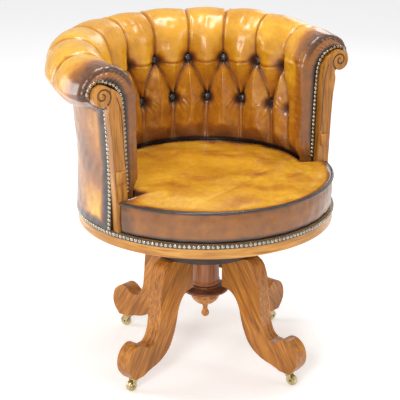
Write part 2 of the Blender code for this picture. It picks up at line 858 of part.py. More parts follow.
spindle()
seat_spider()
seat_board()
seat_rail()
seat_springs()
spring_canvas()
seat_cushion()
seat_piping()
rail_nails()

TUB_CUT = front_cutter()
back_pad(TUB_CUT)
outside_back(TUB_CUT)
back_top_rail(TUB_CUT)
for stile_place, stile_angle in STILE_ANGLES.items():
    back_stile(stile_place, stile_angle)
for post_side, post_sign in SIDES:
    arm_post(post_side, post_sign)
    arm_block(post_side, post_sign)
    arm_nails_inner(post_side, post_sign)
    arm_nails_outer(post_side, post_sign)
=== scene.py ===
"""The looks of the captain's swivel chair: buttoned antique leather, carved oak, brass nails and castors.

Seat pieces are made in the seat's own coordinates, whose origin is on the swivel axis at the seat
rail's underside. Base pieces are made round the same axis with their heights from the floor.
"""

import functools
import json
import math

import bmesh
import bpy
import numpy as np
from mathutils import Matrix, Vector


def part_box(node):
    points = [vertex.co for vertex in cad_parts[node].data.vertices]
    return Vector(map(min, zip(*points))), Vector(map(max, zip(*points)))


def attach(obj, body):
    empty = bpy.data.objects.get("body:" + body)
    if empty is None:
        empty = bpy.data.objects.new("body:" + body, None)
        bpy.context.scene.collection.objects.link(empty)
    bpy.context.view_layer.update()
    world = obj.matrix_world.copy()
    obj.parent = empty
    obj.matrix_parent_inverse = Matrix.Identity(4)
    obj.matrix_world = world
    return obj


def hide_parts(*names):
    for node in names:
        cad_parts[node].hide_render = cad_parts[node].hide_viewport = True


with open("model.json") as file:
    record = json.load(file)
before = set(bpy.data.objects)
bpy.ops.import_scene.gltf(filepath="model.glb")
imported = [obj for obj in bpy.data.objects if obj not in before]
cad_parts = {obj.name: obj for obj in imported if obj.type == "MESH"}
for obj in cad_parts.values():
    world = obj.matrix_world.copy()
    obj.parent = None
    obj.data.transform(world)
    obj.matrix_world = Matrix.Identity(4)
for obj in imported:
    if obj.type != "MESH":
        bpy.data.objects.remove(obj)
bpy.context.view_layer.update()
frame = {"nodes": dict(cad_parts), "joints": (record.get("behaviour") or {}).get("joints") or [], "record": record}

# ---- places, read from the frame

RAIL_LOW, RAIL_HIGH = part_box("seat_rail")
PAD_LOW, PAD_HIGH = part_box("back_pad")
POST_LOW, POST_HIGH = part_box("arm_post_right")
LEG_LOW, LEG_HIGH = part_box("leg_front_right")
COLUMN_LOW, COLUMN_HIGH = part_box("column")
COLLAR_LOW, COLLAR_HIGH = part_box("collar")
FINIAL_LOW, FINIAL_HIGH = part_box("finial")
PIPING_LOW, PIPING_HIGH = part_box("seat_piping")
CUSHION_LOW, CUSHION_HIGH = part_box("seat_cushion")
SHELL_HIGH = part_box("outside_back")[1]

AXIS_Y = (RAIL_LOW.y + RAIL_HIGH.y) / 2
RAIL_Z = RAIL_LOW.z
SEAT_R = (RAIL_HIGH.x - RAIL_LOW.x) / 2
RAIL_DEPTH = RAIL_HIGH.z - RAIL_Z
RAIL_INNER_R = SEAT_R - 0.050
CUSHION_Z = CUSHION_LOW.z - RAIL_Z
CROWN_Z = CUSHION_HIGH.z - RAIL_Z
PIPING_Z = (PIPING_LOW.z + PIPING_HIGH.z) / 2 - RAIL_Z
TUB_FRONT = PAD_LOW.y - AXIS_Y
POST_FRONT = POST_LOW.y - AXIS_Y
POST_THICK = POST_HIGH.y - POST_LOW.y
ROLL_R = PAD_HIGH.x - SEAT_R
ROLL_Z = PAD_HIGH.z - RAIL_Z - ROLL_R
SHELL_TOP = SHELL_HIGH.z - RAIL_Z
SEAT_PLACE = Vector((0.0, AXIS_Y, RAIL_Z))
BASE_PLACE = Vector((0.0, AXIS_Y, 0.0))
SIDES = (("left", -1), ("right", 1))

# ---- sizes of the upholstery

TUB_R = 0.236
ROLL_DROP = 0.021
UNDERSIDE_RISE = 0.034
ROLL_END = -76.0
CORNER_R = 0.015
WALL_FOOT = 0.040
UPPER_BUTTONS_Z = 0.3210
LOWER_BUTTONS_Z = 0.2215
UPPER_BUTTONS = [1.5 + 20.5 * i for i in range(-4, 5)]
LOWER_BUTTONS = [min(2.6 + 20.4 * (i + 0.5), 90.0) for i in range(-5, 5)]
BUTTON_R = 0.0100
NAIL_R = 0.0047
NAIL_RISE = 0.0030
NAIL_SPACING = 0.0098
RAIL_NAIL_SPACING = 0.0104
PIPING_R = 0.0030
SIDE_ROWS = 16
PANEL_SEAM = math.radians(52)
SCROLL_X = 0.0163
SCROLL_Z = 0.3513
SCROLL_R = 0.0237
LEG_THICK = 0.039
LEG_REACH = 0.2915
LEG_ANGLES = {"front_right": 17.75, "back_right": 107.75, "back_left": 197.75, "front_left": 287.75}


# ---- node and mesh helpers


def node(tree, kind, sockets=None, **settings):
    """A shader node. A socket's value is a number, a colour or another node's output."""
    made = tree.nodes.new("ShaderNode" + kind)
    for key, value in settings.items():
        setattr(made, key, value)
    for key, value in (sockets or {}).items():
        if isinstance(value, bpy.types.NodeSocket):
            tree.links.new(value, made.inputs[key])
        else:
            made.inputs[key].default_value = value
    return made


def math_node(tree, operation, first, second=0.0):
    return node(tree, "Math", {0: first, 1: second}, operation=operation).outputs[0]


def times(tree, first, second):
    return math_node(tree, "MULTIPLY", first, second)


def mixed(tree, factor, first, second):
    """Two colours mixed. A colour is an output or three numbers."""
    made = node(tree, "Mix", data_type="RGBA", blend_type="MIX")
    for index, value in ((0, factor), (6, first), (7, second)):
        if isinstance(value, bpy.types.NodeSocket):
            tree.links.new(value, made.inputs[index])
        else:
            made.inputs[index].default_value = value if index == 0 else (*value, 1.0)
    return made.outputs[2]


def ramp(tree, value, stops):
    """A colour ramp. Each stop is a position and a colour, or a position and a grey."""
    made = node(tree, "ValToRGB", {"Fac": value})
    elements = made.color_ramp.elements
    while len(elements) < len(stops):
        elements.new(0.5)
    for element, (position, colour) in zip(elements, stops):
        element.position = position
        grey = isinstance(colour, (int, float))
        element.color = (colour, colour, colour, 1.0) if grey else (*colour, 1.0)
    return made.outputs[0]


def noise(tree, place, scale, detail=3.0, roughness=0.5, distortion=0.0):
    sockets = {"Vector": place, "Scale": scale, "Detail": detail, "Roughness": roughness}
    return node(tree, "TexNoise", {**sockets, "Distortion": distortion}).outputs["Fac"]


def stretched(tree, place, scale, rotation=(0.0, 0.0, 0.0)):
    turned_place = node(tree, "Mapping", {"Vector": place, "Rotation": rotation}, vector_type="TEXTURE")
    return node(tree, "Mapping", {"Vector": turned_place.outputs[0], "Scale": scale}).outputs[0]


def bump(tree, height, distance, strength=1.0, under=None):
    sockets = {"Height": height, "Distance": distance, "Strength": strength}
    if under:
        sockets["Normal"] = under
    return node(tree, "Bump", sockets).outputs[0]


def new_material(name):
    """A new material, its node tree, its shader and the object's own coordinates."""
    material = bpy.data.materials.new(name)
    material.use_nodes = True
    tree = material.node_tree
    return material, tree, tree.nodes["Principled BSDF"], node(tree, "TexCoord").outputs["Object"]


def feed(tree, shader, **sockets):
    """Sets the shader's sockets, each to a number, a colour or another node's output."""
    for key, value in sockets.items():
        socket = shader.inputs[key.replace("_", " ")]
        if isinstance(value, bpy.types.NodeSocket):
            tree.links.new(value, socket)
        else:
            socket.default_value = value


def dye_and_shade_input(tree):
    return node(tree, "Attribute", attribute_name="dye_and_shade").outputs["Fac"]


def cells(tree, place, scale, **settings):
    return node(tree, "TexVoronoi", {"Vector": place, "Scale": scale}, **settings).outputs["Distance"]


def new_object(name, data, material=None):
    obj = bpy.data.objects.new(name, data)
    if material:
        data.materials.clear()
        data.materials.append(material)
    bpy.context.scene.collection.objects.link(obj)
    return obj


def evaluated_mesh(obj):
    bpy.context.view_layer.update()
    graph = bpy.context.evaluated_depsgraph_get()
    return bpy.data.meshes.new_from_object(obj.evaluated_get(graph))


def settled(obj):
    """The same object with its modifiers made part of its mesh."""
    mesh = evaluated_mesh(obj)
    obj.modifiers.clear()
    obj.data = mesh
    return obj


def grid_mesh(name, points, wrap=False):
    """A mesh over rows and columns of points. With wrap, the last column meets the first."""
    rows, columns = points.shape[:2]
    index = np.arange(rows * columns).reshape(rows, columns)
    left = index if wrap else index[:, :-1]
    right = np.roll(index, -1, axis=1) if wrap else index[:, 1:]
    faces = np.stack([left[:-1], right[:-1], right[1:], left[1:]], axis=-1).reshape(-1, 4)
    mesh = bpy.data.meshes.new(name)
    mesh.from_pydata(points.reshape(-1, 3).tolist(), [], faces.tolist())
    mesh.shade_smooth()
    return mesh


def set_dye_and_shade(mesh, dye_and_shade):
    layer = mesh.attributes.new("dye_and_shade", "FLOAT", "POINT")
    layer.data.foreach_set("value", np.clip(dye_and_shade, 0.0, 1.0).astype(np.float32).ravel())


def turned(name, profile, material, steps=96, ring=False):
    """A piece turned about its own Z axis, from (radius, height) points down its outer side."""
    mesh = bpy.data.meshes.new(name)
    edges = [(i, i + 1) for i in range(len(profile) - 1)]
    if ring:
        edges.append((len(profile) - 1, 0))
    mesh.from_pydata([(r, 0.0, z) for r, z in profile], edges, [])
    obj = new_object(name, mesh)
    screw = obj.modifiers.new("Turn", "SCREW")
    screw.steps = steps
    screw.render_steps = steps
    screw.use_merge_vertices = True
    screw.merge_threshold = 0.00001
    settled(obj)
    obj.data.materials.append(material)
    obj.data.shade_smooth()
    obj.data.set_sharp_from_angle(angle=math.radians(38))
    return obj


def arc(centre_x, centre_z, radius, first, last, count):
    """Points on an arc, from the first angle to the last in degrees, ends included."""
    angles = [math.radians(first + (last - first) * i / (count - 1)) for i in range(count)]
    return [(centre_x + radius * math.cos(a), centre_z + radius * math.sin(a)) for a in angles]


def board(name, outline, thickness, material, detail=10):
    """An upright board whose outline, of (x, z, is_corner) points, is centred on the XZ plane."""
    curve = bpy.data.curves.new(name, "CURVE")
    curve.dimensions = "2D"
    curve.fill_mode = "BOTH"
    curve.extrude = thickness / 2
    curve.resolution_u = detail
    spline = curve.splines.new("BEZIER")
    spline.bezier_points.add(len(outline) - 1)
    for point, (x, z, corner) in zip(spline.bezier_points, outline):
        point.co = (x, z, 0.0)
        point.handle_left_type = point.handle_right_type = "VECTOR" if corner else "AUTO"
    spline.use_cyclic_u = True
    mesh = curve_mesh(curve)
    mesh.transform(Matrix.Rotation(math.radians(90), 4, "X"))
    return new_object(name, mesh, material)


def weld(shape):
    bmesh.ops.remove_doubles(shape, verts=shape.verts, dist=0.00001)


def reshape(mesh, change):
    """Makes a change to a mesh and turns its faces outward."""
    shape = bmesh.new()
    shape.from_mesh(mesh)
    change(shape)
    bmesh.ops.recalc_face_normals(shape, faces=shape.faces)
    shape.to_mesh(mesh)
    shape.free()


def curve_mesh(curve):
    """The closed mesh that a curve makes."""
    guide = new_object("guide", curve)
    mesh = evaluated_mesh(guide)
    bpy.data.objects.remove(guide, do_unlink=True)
    reshape(mesh, weld)
    return mesh


def rod(name, points, radius, material, sides=3):
    """A round rod along the points, with flat ends."""
    curve = bpy.data.curves.new(name, "CURVE")
    curve.dimensions = "3D"
    curve.bevel_depth = radius
    curve.bevel_resolution = sides
    curve.use_fill_caps = True
    spline = curve.splines.new("POLY")
    spline.points.add(len(points) - 1)
    for point, place in zip(spline.points, points):
        point.co = (*place, 1.0)
    mesh = curve_mesh(curve)
    mesh.shade_smooth()
    return new_object(name, mesh, material)


def round_edges(obj, width, segments=3):
    modifier = obj.modifiers.new("Rounded edges", "BEVEL")
    modifier.width = width
    modifier.segments = segments
    modifier.limit_method = "ANGLE"
    modifier.angle_limit = math.radians(35)


def even_shading(obj):
    obj.data.shade_smooth()
    obj.data.set_sharp_from_angle(angle=math.radians(50))
    modifier = obj.modifiers.new("Even shading", "WEIGHTED_NORMAL")
    modifier.keep_sharp = True


def seat_piece(obj, slot, *nodes):
    """A piece made in the seat's own coordinates."""
    obj.location = SEAT_PLACE
    return settle_piece(obj, "seat", slot, *nodes)


def base_piece(obj, slot, *nodes):
    """A piece made round the swivel axis, with heights from the floor."""
    obj.location = BASE_PLACE
    return settle_piece(obj, "base", slot, *nodes)


def settle_piece(obj, body, slot, *nodes):
    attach(obj, body)
    if nodes:
        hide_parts(*nodes)
    return obj


def ease(share):
    """From 0 to 1, slow at both ends."""
    share = np.clip(share, 0.0, 1.0)
    return share * share * (3 - 2 * share)


def bell(distance, width):
    """1 at no distance, falling to almost nothing at twice the width."""
    return np.exp(-((distance / width) ** 2))


def highest(*layers):
    return functools.reduce(np.maximum, layers)


def lowest(*layers):
    return functools.reduce(np.minimum, layers)


def ripple(x, y, size, seed):
    """Smooth noise from -1 to 1 made of six crossing waves about this size."""
    source = np.random.default_rng(seed)
    total = np.zeros(np.broadcast(x, y).shape)
    for turn, phase, stretch in source.uniform(0.0, 1.0, (6, 3)):
        wave = math.tau / (size * (0.7 + 0.8 * stretch))
        along = x * math.cos(math.pi * turn) + y * math.sin(math.pi * turn)
        total += np.sin(wave * along + math.tau * phase)
    return total / 3.2


def segment_distance(x, y, first, last):
    """Distance from points to the straight line between two places."""
    run = np.array(last) - np.array(first)
    share = ((x - first[0]) * run[0] + (y - first[1]) * run[1]) / (run @ run)
    share = np.clip(share, 0.0, 1.0)
    return np.hypot(x - first[0] - share * run[0], y - first[1] - share * run[1])


def inflate(obj, held, pressure, most, steps=20, stiffness=30.0):
    """Puffs the leather by cloth simulation, holding the given points, and gives how far each point moved."""
    rest = coordinates(obj.data)
    group = obj.vertex_groups.new(name="held")
    group.add([int(i) for i in np.flatnonzero(held)], 1.0, "REPLACE")
    cloth = obj.modifiers.new("Leather", "CLOTH")
    settings = cloth.settings
    settings.quality = 5
    settings.mass = 0.4
    settings.tension_stiffness = settings.compression_stiffness = stiffness
    settings.shear_stiffness = stiffness / 2
    settings.bending_stiffness = 1.0
    settings.use_pressure = True
    settings.uniform_pressure_force = pressure
    settings.vertex_group_mass = "held"
    settings.effector_weights.gravity = 0.0
    cloth.collision_settings.use_collision = False
    cloth.point_cache.frame_end = steps
    for step in range(1, steps + 1):
        bpy.context.scene.frame_set(step)
    moved = coordinates(evaluated_mesh(obj)) - rest
    bpy.data.objects.remove(obj, do_unlink=True)
    bpy.context.scene.frame_set(1)
    length = np.linalg.norm(moved, axis=1, keepdims=True)
    return moved * np.minimum(1.0, most / np.maximum(length, 1e-9))


def coordinates(mesh):
    found = np.empty(len(mesh.vertices) * 3, np.float32)
    mesh.vertices.foreach_get("co", found)
    return found.reshape(-1, 3).astype(float)


# ---- materials


def leather_material(name, shine=0.30):
    """Hand-antiqued leather: amber hide, darkened to brown-black by the point attribute, which holds the antique
    dye and painted shade in the crevices and low on the tub wall.
    """
    material, tree, shader, place = new_material(name)
    hides = ((0.30, (0.50, 0.215, 0.010)), (0.52, (0.64, 0.315, 0.016)), (0.75, (0.76, 0.43, 0.034)))
    amber = ramp(tree, noise(tree, place, 9.0, 4.0, 0.55), hides)
    mottle = ramp(tree, noise(tree, place, 75.0, 4.0, 0.6), ((0.42, 0.0), (0.75, 0.5)))
    colour = mixed(tree, mottle, amber, (0.44, 0.18, 0.010))
    patches = noise(tree, place, 38.0, 5.0, 0.65)
    # The darkening: the attribute's antique dye and painted shade, with random patches.
    worn_and_shaded = math_node(tree, "ADD", dye_and_shade_input(tree), times(tree, math_node(tree, "SUBTRACT", patches, 0.5), 0.44))
    for first, last, tone in (
        (0.06, 0.34, (0.40, 0.135, 0.010)),
        (0.26, 0.60, (0.145, 0.052, 0.016)),
        (0.54, 0.95, (0.012, 0.008, 0.007)),
    ):
        colour = mixed(tree, ramp(tree, worn_and_shaded, ((first, 0.0), (last, 1.0))), colour, tone)
    warp = mixed(tree, 0.10, place, node(tree, "TexNoise", {"Vector": place, "Scale": 30.0}).outputs["Color"])
    large = ramp(tree, cells(tree, warp, 26.0, feature="DISTANCE_TO_EDGE"), ((0.0, 1.0), (0.022, 0.0)))
    small = ramp(tree, cells(tree, warp, 95.0, feature="DISTANCE_TO_EDGE"), ((0.0, 0.55), (0.050, 0.0)))
    seldom = ramp(tree, noise(tree, place, 14.0, 2.0), ((0.44, 0.0), (0.60, 1.0)))
    creases = times(tree, math_node(tree, "MAXIMUM", large, small), seldom)
    colour = mixed(tree, times(tree, creases, 0.45), colour, (0.14, 0.055, 0.012))
    gloss = ramp(tree, noise(tree, place, 22.0, 4.0), ((0.30, shine - 0.08), (0.70, shine + 0.10)))
    skin = bump(tree, cells(tree, place, 620.0), 0.0002, 0.30)
    soft = bump(tree, noise(tree, place, 60.0, 5.0, 0.6), 0.0012, 0.25, skin)
    feed(tree, shader, Base_Color=colour, Roughness=gloss, Normal=bump(tree, creases, 0.0006, -0.6, soft))
    feed(tree, shader, Coat_Weight=0.38, Coat_Roughness=0.17, Specular_IOR_Level=0.45)
    return material


def dark_leather_material(name, colour, roughness):
    material, tree, shader, place = new_material(name)
    patches = noise(tree, place, 120.0, 4.0)
    tone = tuple(channel * 2.6 for channel in colour)
    shade = mixed(tree, ramp(tree, patches, ((0.40, 0.0), (0.72, 1.0))), colour, tone)
    gloss = ramp(tree, patches, ((0.3, roughness - 0.06), (0.7, roughness + 0.10)))
    pores = bump(tree, cells(tree, place, 700.0), 0.0002, 0.35)
    feed(tree, shader, Base_Color=shade, Roughness=gloss, Normal=pores, Coat_Weight=0.5, Coat_Roughness=0.10)
    return material


def oak_material(name, light, middle, dark, grain=(0.0, 0.0, 0.0), ring=False, shine=0.34):
    """Polished oak. The grain runs along X after the given turn, or round the ring."""
    material, tree, shader, place = new_material(name)
    if ring:
        place = ring_place(tree, place)
    figure = noise(tree, stretched(tree, place, (0.09, 1.0, 1.0), grain), 95.0, 6.0, 0.62, 0.8)
    colour = ramp(tree, figure, ((0.30, dark), (0.45, middle), (0.62, light)))
    pores = noise(tree, stretched(tree, place, (0.045, 1.0, 1.0), grain), 260.0, 2.0, 0.5)
    streaks = ramp(tree, pores, ((0.54, 0.0), (0.66, 1.0)))
    colour = mixed(tree, times(tree, streaks, 0.62), colour, tuple(c * 0.55 for c in dark))
    colour = mixed(tree, dye_and_shade_input(tree), colour, tuple(c * 0.30 for c in dark))
    clouds = noise(tree, place, 11.0, 3.0)
    shadow = ramp(tree, clouds, ((0.40, 0.0), (0.70, 0.55)))
    colour = mixed(tree, shadow, colour, tuple(c * 0.62 for c in middle))
    gloss = ramp(tree, clouds, ((0.3, shine - 0.06), (0.7, shine + 0.12)))
    relief = bump(tree, figure, 0.0007, 0.25, bump(tree, streaks, 0.0004, -0.5))
    feed(tree, shader, Base_Color=colour, Roughness=gloss, Normal=relief)
    feed(tree, shader, Coat_Weight=0.22, Coat_Roughness=0.16, Specular_IOR_Level=0.30)
    return material


def ring_place(tree, place):
    """Coordinates that run round the axis, so that a bent board's grain follows it. They part at the back."""
    x, y, z = node(tree, "SeparateXYZ", {0: place}).outputs
    turn = math_node(tree, "ARCTAN2", x, times(tree, y, -1.0))
    flat = node(tree, "CombineXYZ", {0: x, 1: y}).outputs[0]
    reach = node(tree, "VectorMath", {0: flat}, operation="LENGTH").outputs["Value"]
    slant = math_node(tree, "ADD", times(tree, turn, SEAT_R), times(tree, z, 1.4))
    return node(tree, "CombineXYZ", {0: slant, 1: reach, 2: z}).outputs[0]


def metal_material(name, colour, tarnish, roughness, scale=90.0):
    material, tree, shader, place = new_material(name)
    spots = noise(tree, place, scale, 5.0, 0.6)
    shade = mixed(tree, ramp(tree, spots, ((0.42, 0.0), (0.70, 1.0))), colour, tarnish)
    gloss = ramp(tree, spots, ((0.3, roughness - 0.06), (0.75, roughness + 0.16)))
    feed(tree, shader, Base_Color=shade, Roughness=gloss, Normal=bump(tree, spots, 0.0003, 0.3), Metallic=1.0)
    return material


def canvas_material(name):
    material, tree, shader, place = new_material(name)
    wave = {"Vector": place, "Scale": 160.0, "Distortion": 0.6}
    weft, warp = [node(tree, "TexWave", wave, bands_direction=axis).outputs["Fac"] for axis in ("X", "Y")]
    weave = math_node(tree, "MAXIMUM", weft, warp)
    colour = ramp(tree, weave, ((0.2, (0.24, 0.17, 0.09)), (0.8, (0.52, 0.42, 0.27))))
    feed(tree, shader, Base_Color=colour, Normal=bump(tree, weave, 0.0005, 0.6), Roughness=0.9)
    return material


LEATHER = leather_material("antique_leather")
BUTTON_LEATHER = dark_leather_material("button_leather", (0.014, 0.012, 0.012), 0.26)
PIPING_LEATHER = dark_leather_material("piping_leather", (0.016, 0.009, 0.007), 0.38)
POST_TURN = (0.0, math.radians(88), 0.0)
LEG_TURN = (0.0, math.radians(58), 0.0)
COLUMN_TURN = (0.0, math.radians(90), 0.0)
LEG_OAK = oak_material("leg_oak", (0.56, 0.225, 0.030), (0.38, 0.130, 0.015), (0.17, 0.050, 0.008), LEG_TURN)
RAIL_OAK = oak_material("rail_oak", (0.66, 0.32, 0.070), (0.52, 0.22, 0.035), (0.30, 0.11, 0.018), ring=True)
POST_OAK = oak_material(
    "post_oak", (0.52, 0.23, 0.040), (0.38, 0.145, 0.020), (0.19, 0.062, 0.010), POST_TURN
)
# Painted shade in the carved grooves: a much darker oak that the cuts leave on the groove faces.
GROOVE_SHADE_OAK = oak_material(
    "groove_shade_oak", (0.16, 0.06, 0.012), (0.10, 0.035, 0.008), (0.05, 0.018, 0.005), POST_TURN
)
COLUMN_OAK = oak_material(
    "column_oak", (0.50, 0.200, 0.075), (0.36, 0.125, 0.045), (0.18, 0.055, 0.020), COLUMN_TURN
)
COLLAR_OAK = oak_material(
    "collar_oak", (0.26, 0.095, 0.040), (0.17, 0.058, 0.026), (0.08, 0.028, 0.014), ring=True
)
# Near-black oak for the plate under the seat: a dark plate, made darker still as painted shade from the seat
# above.
PLATE_OAK_WITH_SHADE = oak_material(
    "plate_oak_with_shade", (0.055, 0.024, 0.014), (0.035, 0.015, 0.010), (0.018, 0.010, 0.008), ring=True
)
BOWL_OAK = oak_material("bowl_oak", (0.60, 0.25, 0.045), (0.44, 0.16, 0.026), (0.22, 0.075, 0.012), ring=True)
BEECH = oak_material("frame_beech", (0.62, 0.42, 0.24), (0.52, 0.34, 0.18), (0.40, 0.24, 0.12), shine=0.6)
PINE = oak_material("board_pine", (0.60, 0.42, 0.22), (0.50, 0.33, 0.16), (0.34, 0.19, 0.08), shine=0.65)
BRASS = metal_material("castor_brass", (0.62, 0.52, 0.28), (0.36, 0.28, 0.12), 0.30)
NAIL_BRASS = metal_material("nail_brass", (0.50, 0.44, 0.34), (0.20, 0.15, 0.10), 0.16, 160.0)
IRON = metal_material("black_iron", (0.060, 0.054, 0.050), (0.030, 0.022, 0.018), 0.48)
STEEL = metal_material("spring_steel", (0.42, 0.40, 0.37), (0.20, 0.14, 0.10), 0.38)
CANVAS = canvas_material("canvas_weave")


# ---- tub: buttoned inside, roll and front edges


def roll_drop(angle, height):
    """How far the roll sinks towards the arms, by angle from the back in radians."""
    along = ease((np.degrees(np.abs(angle)) - 50) / 50)
    return ROLL_DROP * along * ease((height - 0.130) / 0.160)


def underside_rise(angle, height):
    """How far the roll's underside and the shell's top are gathered up near the posts."""
    near = ease((np.degrees(np.abs(angle)) - 70) / 32)
    below = 1 - ease((height - SHELL_TOP) / (ROLL_Z - SHELL_TOP))
    return UNDERSIDE_RISE * near * ease((height - 0.130) / 0.160) * below


def unmoved_height(height):
    """The height at the posts, before the roll was lowered and gathered, of what ends at this height."""
    angle = math.acos(TUB_FRONT / SEAT_R)
    found = height
    for _ in range(8):
        found = height + float(roll_drop(angle, found)) - float(underside_rise(angle, found))
    return found


def folds_of(across, along):
    """Distances to the pleats: the diagonals, the upright ones above and below, and the level creases."""
    upper = [(math.radians(a) * TUB_R, UPPER_BUTTONS_Z) for a in UPPER_BUTTONS]
    lower = [(math.radians(a) * TUB_R, LOWER_BUTTONS_Z) for a in LOWER_BUTTONS]
    diagonal = level = np.full(across.shape, 1.0)
    for top in upper:
        for bottom in lower:
            if abs(top[0] - bottom[0]) < 0.065:
                share = np.clip((top[1] - along) / (top[1] - bottom[1]), 0, 1)
                bow = 0.0045 * np.sin(math.pi * share) * (1 if bottom[0] < top[0] else -1)
                diagonal = np.minimum(diagonal, segment_distance(across + bow, along, top, bottom))
    upper_sways = [0.0025 * math.sin(2.1 * number) for number in range(len(upper))]
    lower_sways = [-0.004 * math.sin(1.3 * number + 0.4) for number in range(len(lower))]
    rising = upright_folds(across, along, upper, 1.0, upper_sways, 14)
    falling = upright_folds(across, along, lower, -0.2, lower_sways, 19)
    button = lowest(*[np.hypot(across - x, along - z) for x, z in upper + lower])
    for number, (first, last) in enumerate(zip(upper, upper[1:])):
        share = (across - first[0]) / (last[0] - first[0])
        sag = 0.0050 * np.sin(math.pi * np.clip(share, 0, 1)) * (1 + 0.4 * math.sin(1.7 * number))
        level = np.minimum(level, segment_distance(across, along + sag, first, last))
    return diagonal, *rising, *falling, level, button


def upright_folds(across, along, buttons, end, sways, waves):
    """The distance to the nearest fold running up or down from a button, and the offset across it."""
    nearest, offset = np.full(across.shape, 1.0), np.zeros(across.shape)
    for (x, z), sway in zip(buttons, sways):
        bent = across + sway * np.sin((along - z) * waves)
        distance = segment_distance(bent, along, (x, z), (x, end))
        offset = np.where(distance < nearest, bent - x, offset)
        nearest = np.minimum(nearest, distance)
    return nearest, offset


def tufting(across, along, edge):
    """How far the leather stands over the tub's inner face, and how dark it is: antique dye, and painted shade low
    on the wall.

    across and along unroll the tub, and edge is the distance from the arm's front edge."""
    diagonal, rising, rising_side, falling, falling_side, level, button = folds_of(across, along)
    nearest = lowest(diagonal, rising, falling)
    on_roll = ease((along - (ROLL_Z - 0.035)) / 0.085)
    over_roll = ease((along - (ROLL_Z + 0.165)) / 0.090)
    seat_end = ease((along - 0.104) / 0.050)
    away = ease((edge - 0.006) / 0.036)
    pillow = 1 - (1 - np.clip(nearest / 0.043, 0, 1)) ** 2.1
    strength = seat_end * (1 - 0.80 * on_roll)
    height = strength * ((-0.008 + 0.0265 * pillow) * away + 0.0125 * (1 - away))
    height -= 0.0125 * bell(button, 0.0135) * away
    height -= 0.0036 * (1 - on_roll * 0.6) * bell(level, 0.0032) * away * (1 - bell(button, 0.012))
    height += 0.0022 * ease(1 - level / 0.016) * away
    height -= 0.0026 * bell(diagonal, 0.0026) * away
    crease = bell(rising, 0.0026) * (1 - over_roll)
    height -= on_roll * 0.0032 * crease * away
    height += 0.0024 * bell(rising_side - 0.0046, 0.0019) * (rising < 0.02) * (1 - over_roll) * away
    ridge = bell(falling_side, 0.0027) * (falling < 0.02) * (1 - bell(button, 0.016))
    height += 0.0066 * ridge * seat_end * away
    around = np.arctan2(falling_side, 0.02 + np.abs(along - LOWER_BUTTONS_Z))
    height += 0.0013 * np.cos(26 * around) * bell(button - 0.020, 0.012) * away
    height += 0.0008 * ripple(across, along, 0.060, 3) + 0.0003 * ripple(across, along * 0.5, 0.018, 5)
    gathers = 0.0005 * np.sin(along * 330 + 2.5 * ripple(across, along, 0.06, 9))
    height += gathers * bell(edge - 0.004, 0.020) * ease((along - 0.13) / 0.05)
    near_button = bell(button, 0.034)
    valleys = bell(np.abs(falling_side) - 0.0042, 0.0024) * (falling < 0.02)
    dye_and_shade = highest(
        1.12 * bell(button, 0.0170),
        (0.34 + 0.66 * near_button) * bell(diagonal, 0.0036),
        (0.46 + 0.40 * near_button) * bell(rising, 0.0024) * (1 - 0.5 * over_roll),
        (0.45 + 0.40 * near_button) * valleys,
        (0.30 + 0.40 * near_button) * bell(level, 0.0022),
        0.30 * ease(1 - nearest / 0.022) * (1 - on_roll),
        0.50 * ease(1 - button / 0.042),
        # Painted shade: darker below the upper buttons and towards the seat, near-black where the wall meets the
        # cushion.
        0.26 * ease((UPPER_BUTTONS_Z - along) / 0.050),
        0.52 * ease((0.195 - along) / 0.070),
        1.05 * ease((0.131 - along) / 0.016),
        (0.30 + 0.30 * on_roll) * ease(1 - edge / (0.024 + 0.050 * on_roll)),
        # Darker on the roll's outer side, most near the arms: antique dye and painted shade.
        (0.20 + 0.34 * ease(1 - edge / 0.20)) * over_roll,
    )
    return height, dye_and_shade


def tub_profile():
    """The tub's section: radius, height, outward direction and length along it, row by row."""
    wall = np.linspace(WALL_FOOT, ROLL_Z, 118, endpoint=False)
    turn = np.radians(np.linspace(180.0, ROLL_END, 84))
    radius = np.concatenate([np.full(wall.shape, TUB_R), SEAT_R + ROLL_R * np.cos(turn)])
    height = np.concatenate([wall, ROLL_Z + ROLL_R * np.sin(turn)])
    normal_r = np.concatenate([np.full(wall.shape, -1.0), np.cos(turn)])
    normal_z = np.concatenate([np.zeros(wall.shape), np.sin(turn)])
    along = np.concatenate([wall, ROLL_Z + ROLL_R * (math.pi - turn)])
    bearing = np.concatenate([np.full(wall.shape, 200.0), np.degrees(turn)])
    return radius, height, normal_r, normal_z, along, bearing


def column_shares():
    """Where the columns stand between the arms, closer together at the pleats."""
    last = math.degrees(math.acos((TUB_FRONT + CORNER_R) / TUB_R))
    stops = sorted([*UPPER_BUTTONS, *LOWER_BUTTONS])
    stops = [-last, *stops, last]
    shares = []
    for first, second in zip(stops, stops[1:]):
        count = max(6, round(21 * (second - first) / 10.25))
        step = np.arange(count) / count
        shares.append(first + (second - first) * (step - 0.55 * np.sin(math.tau * step) / math.tau))
    return np.radians(np.concatenate([*shares, [last]])) / math.radians(last)


def front_target(height, bearing):
    """Where the leather tucks under the post: (x from the seat's radius, height) for each row."""
    stem_z = [0.0, 0.122, 0.190, 0.260, 0.315, 0.338]
    stem_x = [-0.0400, -0.0400, -0.0385, -0.0355, -0.0320, -0.0290]
    reach = np.interp(bearing, [-90.0, 125.0, 150.0, 180.0], [0.0222, 0.0222, 0.0280, 0.0380])
    turn = np.radians(bearing)
    on_wall = bearing > 190
    x = np.where(on_wall, np.interp(height, stem_z, stem_x), SCROLL_X + reach * np.cos(turn))
    z = np.where(on_wall, height, SCROLL_Z + reach * np.sin(turn))
    return x, z


